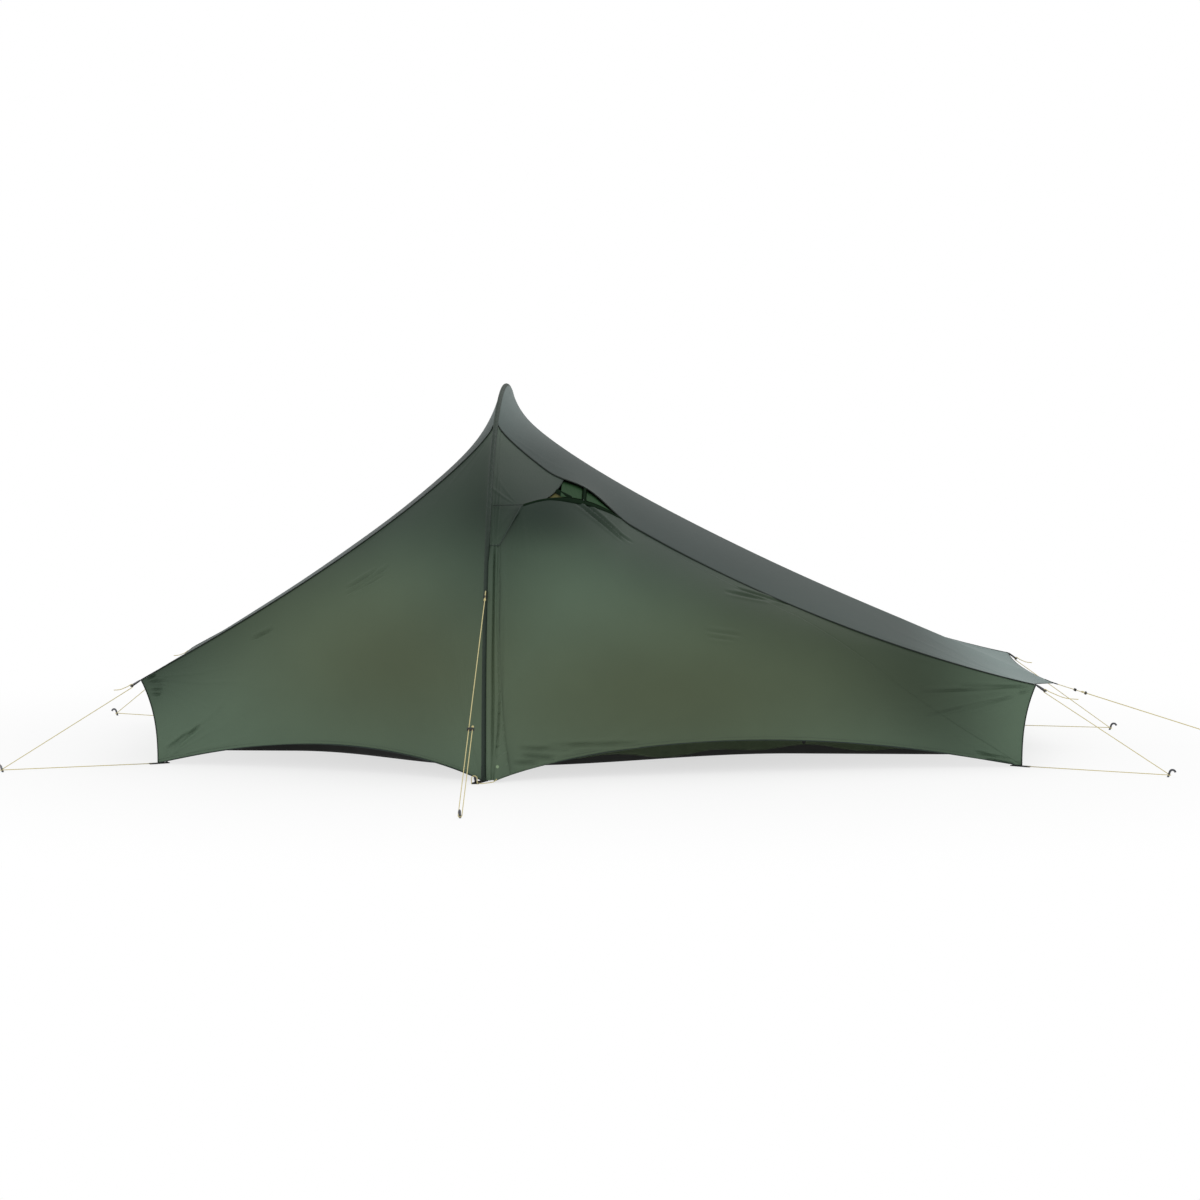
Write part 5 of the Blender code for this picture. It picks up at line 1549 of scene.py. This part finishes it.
class TENT_OT_sleeve(bpy.types.Operator):
    """Make the cloth sleeve round the hoop, gathered a little along its whole length"""
    bl_idname = "tent.sleeve"
    bl_label = "Pole sleeve"

    def execute(self, context):
        total = 2 * HALF_POLE
        lengths = straight(SLEEVE_END, total - SLEEVE_END, 560)
        path = [hoop_point(length) for length in lengths]
        sides = 20
        points, faces, corners = sweep(path, 1.0, 1.0, [(1, 0, 0)] * len(path), sides)
        centre = as_array(path)[:, None]
        out = points.reshape(len(path), sides, 3) - centre
        run = np.array(lengths)[:, None]
        turn = np.linspace(0, 2 * math.pi, sides, endpoint=False)[None]
        gather = np.sin(run * 260 + 2.2 * np.sin(turn + run * 9)) * np.sin(turn * 2 + run * 31)
        radius = SLEEVE_RADIUS + SLEEVE_LOOSE + 0.00035 * gather * depths()
        points = centre + out * radius[..., None]
        obj = new_piece("hoop_sleeve", points.reshape(-1, 3), faces[:-2], corners[:-2 * sides])
        thickened(obj, context.scene.tent_cloth.thickness, -1.0)
        finish_piece(obj, "Woven nylon, sleeve", "tent", "sleeve_cloth", "pole_sleeve")
        return {"FINISHED"}


def zip_point(length, x, lift=0.0):
    """Point beside the front leg of the hoop, lifted outwards."""
    return hoop_point(length, x) + hoop_outward(length) * lift


class TENT_OT_zip(bpy.types.Operator):
    """Make the door's zip tape and coil, and the storm flap that covers them"""
    bl_idname = "tent.zip"
    bl_label = "Zip and flap"

    def execute(self, context):
        fittings = context.scene.tent_fittings
        low, high = TAPE_START, ZIP_TOP - TAPE_TOP_GAP
        tape = np.array([[tuple(zip_point(mix(low, high, t), HOOP_EDGE + ZIP_TAPE_WIDTH * u))
                          for u in steps(8)] for t in steps(200)])
        make_sheet("zip_tape_cloth", tape, "Woven polyester tape, zip", "zip_tape",
                   ["door_zip_tape"], thickness=TAPE_THICKNESS)
        middle = HOOP_EDGE + ZIP_TAPE_WIDTH / 2
        path = [zip_point(length, middle, -0.0013) for length in straight(low, high, 300)]
        teeth = rods_along("zip_coil", row_tree("Zip coil", True), [path], {
            "Spacing": fittings.tooth_spacing, "Length": TOOTH_LENGTH,
            "Thickness": TOOTH_THICKNESS,
            "Finish": bpy.data.materials["Nylon monofilament, zip coil"]})
        finish_piece(teeth, None, "tent", "zip_tape")

        rows, columns = 220, 44
        flap, heights = self.flap(rows, columns)
        # The deep folds take up cloth, so the flat size comes from the folded flap.
        folded = creased(flap, [heights], (0, 1, 1, 1))
        make_sheet("storm_flap", folded, WALL_CLOTH, "wall_cloth", body="door")
        row = round(rows * SNAP_HEIGHT / (ZIP_TOP - FLAP_START - FLAP_TOP_GAP))
        column = 24
        out = hoop_outward(0.040)
        place = Vector(flap[row, column]) + out * (heights[row, column] + 0.0016)
        rim = ring_path(place, out, SNAP_RADIUS)
        cap = [place - out * 0.0006, place + out * 0.0002, place + out * 0.0007]
        dome = [0.0034, 0.0034, 0.0018]
        snap = joined("flap_snap", [sweep(rim, 0.0008, 0.0007, sides=10),
                                    sweep(cap, dome, dome, [(1, 0, 0)] * 3, sides=20)])
        finish_piece(snap, "Moulded acetal, snap", "door", "black_plastic")
        return {"FINISHED"}

    def flap(self, rows, columns):
        """The flap's grid, wider towards its foot, and the height of its lengthwise folds."""
        door_rows = 200
        door = door_grid(12, 40, 140, door_rows)
        grid, heights = np.zeros((rows + 1, columns + 1, 3)), np.zeros((rows + 1, columns + 1))
        for j, t in enumerate(steps(rows)):
            length = mix(FLAP_START, ZIP_TOP - FLAP_TOP_GAP, t)
            up = max(0.0, (length - HEM_LIFT) / (ZIP_TOP - HEM_LIFT))
            row = door[round(door_rows * up)]
            out = hoop_outward(length)
            width = ZIP_EDGE + 0.003 + 0.034 * (1 - t) ** 2.6
            spread = min(1.0, t / 0.35) ** 0.9
            over_slider = 0.006 * math.exp(-((length - 0.038) / 0.035) ** 2)
            ease = 0.25 + 0.75 * min(1, 12 * (1 - t))
            for i, u in enumerate(steps(columns)):
                x = mix(HOOP_EDGE, width, u)
                place = hoop_point(length, x)
                if x > ZIP_EDGE:
                    place = Vector((x, *(np.interp(x, row[:, 0], row[:, k]) for k in (1, 2))))
                lift = (0.0064 + over_slider) * (1 - math.exp(-u * 9)) - 0.0044 * u ** 3
                grid[j, i] = tuple(place + out * (0.0009 + lift * ease))
                fold = 1.0
                for low, high, size in ((0.24, 0.50, 0.95), (0.32, 0.86, 0.85)):
                    centre = mix(low, high, spread) + 0.03 * math.sin(7 * t + 5 * high)
                    slim = mix(0.055, 0.100, spread)
                    fold -= size * math.exp(-((u - centre) / slim) ** 2)
                heights[j, i] = 0.0092 * max(0.0, fold) * math.sin(math.pi * u) ** 0.5 * ease
        return grid, heights


# Inner tent and groundsheet

def canopy_grid(stations, turns, cap):
    """Arches over the stations; cap is -1, 0 or 1 for the end wall at that side."""
    columns = [[inner_arch(x, t) for t in turns] for x in stations]
    if cap:
        x = stations[0] if cap < 0 else stations[-1]
        rim = TUB_HEIGHT + TUB_CLOTH / 2 + GAP
        walls = []
        for k in range(1, 9):
            wall = []
            for t in turns:
                point = inner_arch(x, t)
                point.x += cap * (TUB_FLARE - TUB_CLOTH / 2) * k / 8
                point.z = mix(point.z, rim, k / 8)
                wall.append(point)
            walls.append(wall)
        columns = walls[::-1] + columns if cap < 0 else columns + walls
    return np.array([[tuple(column[j]) for column in columns] for j in range(len(turns))])


class TENT_OT_inner(bpy.types.Operator):
    """Make the inner tent and its door"""
    bl_idname = "tent.inner"
    bl_label = "Inner tent"

    def execute(self, context):
        turns, edges = steps(112), (0.2, 0.2, 0, 0)
        left = canopy_grid(straight(-FLOOR_LEFT, -GAP, 90), turns, -1)
        right_x = straight(GAP, FLOOR_RIGHT, 136)
        right = canopy_grid(right_x, turns, 1)
        first, last = (next(i for i, x in enumerate(right_x) if x >= place)
                       for place in (INNER_DOOR_START, INNER_DOOR_STOP))
        low, high = INNER_DOOR_ROWS
        keep = np.ones((right.shape[0] - 1, right.shape[1] - 1), bool)
        keep[low:high, first:last] = False
        for name, grid, kept in (("left", left, None), ("right", right, keep)):
            make_sheet("inner_" + name, grid, INNER_CLOTH, "inner_cloth",
                       ["inner_canopy_" + name], self.unevenness(grid), edges,
                       keep=kept)
        moved = creased(right, self.unevenness(right), edges)
        door = moved[low:high + 1, first:last + 1].copy()
        # The slits round the door; the lower one leaves room for the door to fall outwards.
        door[:, 0] = mix(door[:, 0], door[:, 1], 0.12)
        door[:, -1] = mix(door[:, -1], door[:, -2], 0.12)
        door[0], door[-1] = mix(door[0], door[1], 0.45), mix(door[-1], door[-2], 0.12)
        make_sheet("inner_door_cloth", door, INNER_CLOTH, "inner_cloth", ["inner_door"],
                   body="inner_door")
        return {"FINISHED"}

    def unevenness(self, grid):
        return [slack(grid, 0.0030, 6.0), slack(grid * 2.3, 0.0016, 7.0)]


class TENT_OT_groundsheet(bpy.types.Operator):
    """Make the groundsheet as a tray with a turned-up border"""
    bl_idname = "tent.groundsheet"
    bl_label = "Groundsheet"

    def execute(self, context):
        lanes, columns = self.profile(44), self.profile(150)
        grid = np.zeros((len(lanes), len(columns), 3))
        middle, half = (FLOOR_RIGHT - FLOOR_LEFT) / 2, (FLOOR_RIGHT + FLOOR_LEFT) / 2
        for i, (across_x, up_x, side_x) in enumerate(columns):
            x = middle + side_x * (half * abs(across_x) + TUB_FLARE * up_x)
            inside = min(max(x, -FLOOR_LEFT), FLOOR_RIGHT)
            for j, (across_y, up_y, side_y) in enumerate(lanes):
                width = floor_half_width(inside)
                y = side_y * (width * abs(across_y) + TUB_FLARE * up_y)
                up = max(up_x, up_y)
                ruffle = 0.0016 * up * (1 - up) * 4 * math.sin(x * 70 + 9 * y) * depths()
                y += side_y * ruffle if up_y > up_x else 0.0
                x_moved = x + (side_x * ruffle if up_x > up_y else 0.0)
                grid[j, i] = (x_moved, y, TUB_CLOTH / 2 + (TUB_HEIGHT - TUB_CLOTH / 2) * up)
        make_sheet("groundsheet_tray", grid, "Coated nylon, groundsheet", "groundsheet",
                   ["floor_tub"], thickness=GROUNDSHEET_THICKNESS)
        self.skirt()
        return {"FINISHED"}

    def skirt(self):
        """Green band round the upper part of the tray, from behind the door's zip to the end."""
        for name, side in SIDES:
            grid = []
            for up in np.linspace(0, 1, 11):
                height = mix(SKIRT_LOW, TUB_HEIGHT - 0.001, up)
                row = []
                for x in np.linspace(SKIRT_START, FLOOR_RIGHT, 361):
                    wave = math.sin(x * 61 + 5 * up) + 0.7 * math.sin(x * 143 - 3 * up)
                    out = TUB_FLARE * height / TUB_HEIGHT + 0.0050 + 0.0013 * wave * depths()
                    low = 0.006 * (math.sin(x * 9) + math.sin(x * 23)) * (1 - up)
                    row.append((x, side * (floor_half_width(x) + out), height + low))
                grid.append(row)
            make_sheet("tub_skirt_" + name, np.array(grid), "Coated nylon, tub skirt",
                       "inner_cloth")

    def profile(self, count):
        """(share of the half width, share of the border's height, side) across the tray."""
        up = [(1.0, 1 - k / 10, 1) for k in range(10)]
        flat = [(abs(t), 0.0, 1 if t >= 0 else -1) for t in np.linspace(-1, 1, count + 1)]
        return [(a, u, -1) for a, u, _ in up] + flat + [(a, u, 1) for a, u, _ in up[::-1]]


# Trim

def bound(name, paths, material, body="tent", slot="wall_cloth", width=None, height=0.0007):
    width = width or bpy.context.scene.tent_cloth.binding_width
    return trim_piece(name, paths, width / 2, height, material, slot, body)


def hemmed(name, points, facing, body="tent"):
    bound(name, [grid_edge(points, facing)], FLY_HEM, body, width=HEM_WIDTH, height=HEM_HEIGHT)


def grid_edge(points, facing, lift=0.0):
    points = lifted(points, facing, lift)
    return points, [tuple(facing)] * len(points)


class TENT_OT_trim(bpy.types.Operator):
    """Bind the fly's seams and edges; add the vent's strap, the cuffs and the foot loops"""
    bl_idname = "tent.trim"
    bl_label = "Seams and hems"

    def execute(self, context):
        for name, end in ENDS:
            for where, side in SIDES:
                path = [roof(end, s, side) for s in steps(160)]
                bound(f"{name}_{where}_seam", [grid_edge(path, (0, side * 0.70, 0.72), 0.0003)],
                      SEAM_BINDING)
            path = [roof(end, 1.0, v) for v in np.linspace(-1, 1, 60)]
            bound(name + "_roof_edge", [grid_edge(path, (end.sign * 0.35, 0, 0.94))], FLY_HEM,
                  slot="roof_cloth", width=0.004)
        for name, end, side, count in (("left_front", LEFT, FRONT, 120),
                                       ("left_rear", LEFT, REAR, 120),
                                       ("right_rear", RIGHT, REAR, 160)):
            hemmed(name + "_hem", [hem(end, side, s) for s in steps(count)],
                   (0, side * 0.85, 0.5))
        for name, end in ENDS:
            hemmed(name + "_end_hem", end_wall_grid(end, 60, 4)[0], (end.sign, 0, 0.2))
            bound(name + "_corner_seams",
                  [grid_edge(corner_edge(end, side, 40), (end.sign * 0.7, side * 0.7, 0))
                   for _, side in SIDES], SEAM_BINDING, width=0.004)
        self.door_and_hood()
        self.hoop_feet()
        return {"FINISHED"}

    def door_and_hood(self):
        zip_columns, vent_columns = 12, 60
        door = door_grid(zip_columns, vent_columns, 140, 90)
        hemmed("door_hem", door[0], (0, -0.85, 0.5), "fold")
        vent = slice(zip_columns, zip_columns + vent_columns + 1)
        edge = door[-1, vent]
        down = unit(door[-5, vent] - edge)
        out = unit(np.cross(down, np.gradient(edge, axis=0)))
        out *= -np.sign(out[:, 1:2])
        # A dark band along the door's upper edge is painted shade under the roof and hood; it is
        # widest halfway along the vent.
        broad = np.interp(np.arange(len(edge)), (0, 16, 30, 44, 57, 60),
                          (0.0026, 0.0032, 0.0082, 0.0065, 0.0028, 0.0012))
        below = edge + down * broad[:, None] + out * 0.0012
        trim_piece("door_top_shade_band", [(below, out)], broad, 0.0008, VENT_TAPE_AND_SHADE, body="door")
        bound("door_zip_edge", [grid_edge(door[:, 0], (0, -0.9, 0.4))], FLY_HEM, "door",
              width=0.0030, height=0.0009)
        bottom, _, hoop_side, mouth = hood_edges(60, 60)
        start, stop = hoop_side[17] + Vector((0.004, -0.0006, 0)), mouth[3]
        across = [mix(start, stop, t) + Vector((0, -0.006 * math.sin(math.pi * t), 0.001))
                  for t in steps(30)]
        bound("hood_seam", [grid_edge(across, (0, -0.9, 0.3))], SEAM_BINDING, width=0.0020,
              height=0.0008)
        strap = straight(mouth[45], Vector(edge[29]), 10)
        trim_piece("vent_strap", [grid_edge(strap, (0, -0.9, 0.4), 0.001)], 0.0070, 0.0006,
                   VENT_TAPE_AND_SHADE)
        bound("hood_binding", [grid_edge(mouth, (0.3, -0.85, 0.4)),
                               grid_edge(bottom, (0, -0.9, 0.3), 0.0010)], FLY_HEM,
              width=0.0024, height=0.0010)

    def hoop_feet(self):
        """Cuffs at the sleeve's ends, each with a standing loop and a lying strand of cord."""
        loops, cuffs = [], []
        for _, side in SIDES:
            arch = half_turn(Vector((-0.021, side * 0.8645, 0.0160)), Vector((-1, 0, 0)),
                             UP, 0.0076)
            left, right = ([Vector((x, side * 0.850, 0.0028)), Vector((x, side * 0.861, 0.0030))]
                           for x in (-0.0286, -0.0134))
            strand = [Vector((x, side * y, z)) for x, y, z in (
                (-0.016, 0.846, 0.0022), (-0.004, 0.850, 0.0014), (0.012, 0.848, 0.0026),
                (0.028, 0.846, 0.0050), (0.037, 0.842, 0.0120))]
            loops += [(smooth_curve(left + arch + right[::-1], 2), None),
                      (smooth_curve(strand, 6), None)]
            path = [hoop_point(length, 0.0, side)
                    for length in straight(0.0016, SLEEVE_END + 0.012, 12)]
            cuffs.append((path, [(1, 0, 0)] * len(path)))
        trim_piece("sleeve_cuffs", cuffs, SLEEVE_RADIUS + 0.0022, SLEEVE_RADIUS + 0.0018,
                   "Woven nylon, sleeve", "sleeve_cloth", sides=16)
        trim_piece("hoop_foot_loops", loops, CORD_RADIUS, CORD_RADIUS, BRAID, "guyline_cord")


class TENT_OT_stitches(bpy.types.Operator):
    """Set rows of stitches along the seams, hems, flap and door"""
    bl_idname = "tent.stitches"
    bl_label = "Stitches"

    def execute(self, context):
        tree = row_tree("Stitch row", False)
        values = {"Spacing": context.scene.tent_cloth.stitch_spacing, "Length": STITCH_LENGTH,
                  "Thickness": STITCH_THICKNESS, "Finish": bpy.data.materials[THREAD]}
        fixed, moving = [], []
        for _, end in ENDS:
            for _, side in SIDES:
                inset = 1 - 0.007 / end.half_width
                path = [roof(end, s, side * inset) for s in steps(200)]
                fixed.append(lifted(path, (0, side * 0.2, 1), 0.0008))
                if end is LEFT or side == REAR:
                    path = [hem(end, side, s) + UP * STITCH_INSET for s in steps(160)]
                    fixed.append(lifted(path, (0, side, 0.3), 0.0012))
        mouth = hood_edges(60, 60)[3]
        fixed.append(lifted(mouth, (0.3, -0.9, 0.3), 0.0014))
        fixed.append([zip_point(mix(0.02, ZIP_TOP, t), HOOP_EDGE + 0.0022, 0.0058)
                      for t in steps(200)])
        door = door_grid(12, 40, 140, 90)
        moving.append(lifted(door[0] + (0, 0, STITCH_INSET), (0, -1, 0.3), 0.0012))
        moving.append(lifted(mix(door[:, 0], door[:, 1], 1.6), (0, -1, 0.2), 0.0012))
        finish_piece(rods_along("fly_stitches", tree, fixed, values), None, "tent", "wall_cloth")
        finish_piece(rods_along("door_stitches", tree, moving, values), None, "fold", "wall_cloth")
        return {"FINISHED"}


# Parts that keep their CAD shape

class TENT_OT_fittings(bpy.types.Operator):
    """Give the poles, struts, locks, webbing and pegs their finishes"""
    bl_idname = "tent.fittings"
    bl_label = "Poles, pegs and fittings"

    def execute(self, context):
        finishes = {
            "pole_section": "Anodised aluminium, pole tube",
            "pole_shock_cord": "Covered elastic cord",
            "foot_strap": WEBBING,
            "_strut": "Carbon-fibre rod, struts",
            "vent_prop": "Carbon-fibre rod, struts",
            "_foot": WEBBING,
            "_lock": "Moulded acetal, fittings",
            "toggle": "Moulded acetal, fittings",
            "slider": "Painted zinc, zip slider",
            "peg": "Hard-anodised aluminium, pegs",
        }
        hidden = {"roof_panel", "wall", "hood", "door_panel", "tape", "inner", "tub", "sleeve",
                  "guyline"}
        for name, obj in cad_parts.items():
            if any(word in name for word in hidden):
                continue
            material = next(finish for word, finish in finishes.items() if word in name)
            for place in obj.material_slots:
                place.material = bpy.data.materials[material]
        return {"FINISHED"}


# Materials

class TENT_OT_materials(bpy.types.Operator):
    """Build the cloth, cord, plastic and metal materials"""
    bl_idname = "tent.materials"
    bl_label = "Materials"

    def execute(self, context):
        cloth, fittings = context.scene.tent_cloth, context.scene.tent_fittings
        walls = {key: (*getattr(cloth, "wall_" + key), 1.0) for key in ("open", "high", "warm")}
        roofs = {key: (*getattr(cloth, "roof_" + key), 1.0) for key in ("open", "high", "warm")}
        # shade: the hood's painted shadow on the front of the walls and the roof.
        walls["shade"], roofs["shade"] = linear("1B2D22"), linear("25332D")
        coated_ripstop(WALL_CLOTH, walls, 0.52, 0.35, 1.15)
        coated_ripstop("Coated ripstop nylon, roof", roofs, 0.46, 0.17, 1.12)
        # Sewn tube of uncoated nylon: darker and duller than the fly.
        plain_weave("Woven nylon, sleeve", linear("2E3C33"), 0.62, 0.0030)
        # Woven tape: ribs 2 mm apart, real ones are 0.6 mm.
        plain_weave("Woven polyester tape, zip", linear("27332B"), 0.80, 0.0020)
        # Breathable nylon of the inner tent: warm yellow-brown, thin and dull.
        plain_weave(INNER_CLOTH, (*cloth.inner, 1.0), 0.75, 0.0035)
        # The same cloth in the shade of the hood.
        plain_weave("Breathable nylon, vent lining", linear("57551A"), 0.75, 0.0035)
        # Brushed tape, quite matt; on the band along the door's upper edge its dark colour is
        # painted shade.
        plain_weave(VENT_TAPE_AND_SHADE, linear("1B2A1D"), 0.95, 0.0022, sheen=0.0, gloss=0.02)
        # Thin coated band above the groundsheet, gathered a little.
        plain_weave("Coated nylon, tub skirt", linear("6F8262"), 0.55, 0.0030)
        # Coated on its inside: near black with a slight gloss.
        plain_weave("Coated nylon, groundsheet", linear("1E211C"), 0.48, 0.0030)
        # Ribs across the webbing, one for each pick of its weave.
        plain_weave(WEBBING, linear("1E1F1F"), 0.82, fittings.webbing_pitch)
        # Grosgrain: fine ribs across the tape, matt.
        plain_weave(SEAM_BINDING, linear("1D2721"), 0.70, 0.0018)
        # The fly's own cloth rolled twice, its coated side inwards.
        plain_weave(FLY_HEM, linear("33413A"), 0.60, 0.0022)
        cord = (*fittings.cord_colour, 1.0)
        braid(BRAID, cord, linear("B9A967"), fittings.braid_pitch)
        braid("Covered elastic cord", linear("46484A"), linear("1E1F20"), 0.006)
        moulded_plastic("Moulded acetal, fittings", linear("202122"), 0.42)
        moulded_plastic("Moulded acetal, snap", linear("8FA884"), 0.40)
        anodised("Anodised aluminium, pole tube", linear("9DA1A5"), 0.30, 500.0)
        anodised("Hard-anodised aluminium, pegs", linear("5B5C60"), 0.38, 700.0)
        anodised("Painted zinc, zip slider", linear("2A2B2C"), 0.42, 600.0)
        carbon_rod("Carbon-fibre rod, struts", linear("17181A"))
        thread_material(THREAD, linear("3B463A"))
        moulded_plastic("Nylon monofilament, zip coil", linear("232A25"), 0.35)
        mesh_netting("Translucent nylon, vent", linear("2C4A2C"), 0.0040)
        return {"FINISHED"}


# Stage

def pale_floor():
    """Matt white floor: seen by the camera it fades to plain white away from the tent."""
    tree, place = new_material(FLOOR_PAPER)
    paper = add(tree, "ShaderNodeBsdfDiffuse", None, {"Color": (0.86, 0.86, 0.86, 1.0)})
    glow = add(tree, "ShaderNodeEmission", None, {"Color": WHITE, "Strength": 1.0})
    rays = add(tree, "ShaderNodeLightPath").outputs
    seen = maths(tree, "MAXIMUM", rays["Is Camera Ray"], rays["Is Glossy Ray"])
    seen = maths(tree, "MAXIMUM", seen, rays["Is Transmission Ray"])
    near = blob(tree, place["Object"], (0.25, 0.0, 0.0), (2.9, 2.3, 1.0))
    amount = maths(tree, "MULTIPLY", seen, ranged(tree, near, wanted=(1.0, 0.62)))
    mixed = add(tree, "ShaderNodeMixShader", None,
                {0: amount, 1: paper.outputs[0], 2: glow.outputs[0]})
    add(tree, "ShaderNodeOutputMaterial", None, {"Surface": mixed.outputs[0]})


class TENT_OT_stage(bpy.types.Operator):
    """Set the camera, the soft light and the pale floor"""
    bl_idname = "tent.stage"
    bl_label = "Camera, light and floor"

    def execute(self, context):
        scene, chosen = context.scene, context.scene.tent_stage
        scene.view_settings.view_transform = "Standard"
        camera = placed("Camera", bpy.data.cameras.new("Camera"))
        camera.data.lens = chosen.lens
        camera.data.sensor_width = 36.0
        camera.location = CAMERA_PLACE
        camera.rotation_euler = CAMERA_TURN
        scene.camera = camera

        world = bpy.data.worlds.new("Even studio light")
        scene.world = world
        world.use_nodes = True
        tree = world.node_tree
        tree.nodes.clear()
        rays = add(tree, "ShaderNodeLightPath").outputs
        strength = ranged(tree, rays["Is Camera Ray"], wanted=(chosen.sky, 1.0))
        sky = add(tree, "ShaderNodeBackground", None, {"Color": WHITE, "Strength": strength})
        add(tree, "ShaderNodeOutputWorld", None, {"Surface": sky.outputs[0]})

        for name, place, turn, size, share in (
                ("Soft lamp above", (1.6, 0.8, 3.6), (-12, 24, 0), 3.6, 1.0),
                ("Soft lamp in front", (-2.2, -4.6, 2.4), (62, 0, -24), 3.0, 0.45)):
            lamp = bpy.data.lights.new(name, "AREA")
            lamp.shape = "DISK"
            lamp.size = size
            lamp.energy = chosen.lamp * share
            obj = placed(name, lamp)
            obj.location = place
            obj.rotation_euler = [math.radians(a) for a in turn]

        mesh = bpy.data.meshes.new("Floor")
        mesh.from_pydata([(x * FLOOR_EXTENT, y * FLOOR_EXTENT, FLOOR_LEVEL)
                          for x, y in ((-1, -1), (1, -1), (1, 1), (-1, 1))], [], [(0, 1, 2, 3)])
        pale_floor()
        mesh.materials.append(bpy.data.materials[FLOOR_PAPER])
        floor = placed("Floor", mesh)
        floor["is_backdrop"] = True
        return {"FINISHED"}


class TENT_PT_panel(bpy.types.Panel):
    """Lists the settings and the operator of each group of pieces"""
    bl_idname = "TENT_PT_panel"
    bl_label = "Backpacking tent"
    bl_space_type = "VIEW_3D"
    bl_region_type = "UI"
    bl_category = "Tent"

    def draw(self, context):
        for settings in (context.scene.tent_cloth, context.scene.tent_fittings,
                         context.scene.tent_stage):
            box = self.layout.box()
            for name in type(settings).__annotations__:
                box.prop(settings, name)
        for operator in OPERATORS:
            self.layout.operator(operator.bl_idname)


OPERATORS = (
    TENT_OT_stage, TENT_OT_materials, TENT_OT_guylines, TENT_OT_roof, TENT_OT_walls,
    TENT_OT_door, TENT_OT_vent, TENT_OT_sleeve, TENT_OT_zip, TENT_OT_inner,
    TENT_OT_groundsheet, TENT_OT_trim, TENT_OT_stitches, TENT_OT_fittings,
)
SETTINGS = {
    "tent_cloth": TentClothSettings,
    "tent_fittings": TentFittingSettings,
    "tent_stage": TentStageSettings,
}


def register():
    for cls in (*SETTINGS.values(), *OPERATORS, TENT_PT_panel):
        bpy.utils.register_class(cls)
    for name, cls in SETTINGS.items():
        setattr(bpy.types.Scene, name, bpy.props.PointerProperty(type=cls))


def unregister():
    for name in SETTINGS:
        delattr(bpy.types.Scene, name)
    for cls in (TENT_PT_panel, *reversed(OPERATORS), *SETTINGS.values()):
        bpy.utils.unregister_class(cls)


def main():
    register()
    cad_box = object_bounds()
    for operator in OPERATORS:
        getattr(bpy.ops.tent, operator.bl_idname.split(".")[1])()
    boxes = {"cad": cad_box, "visual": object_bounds()}
    ({key: [list(map(float, corner)) for corner in box]
               for key, box in boxes.items()})


if __name__ == "__main__":
    main()
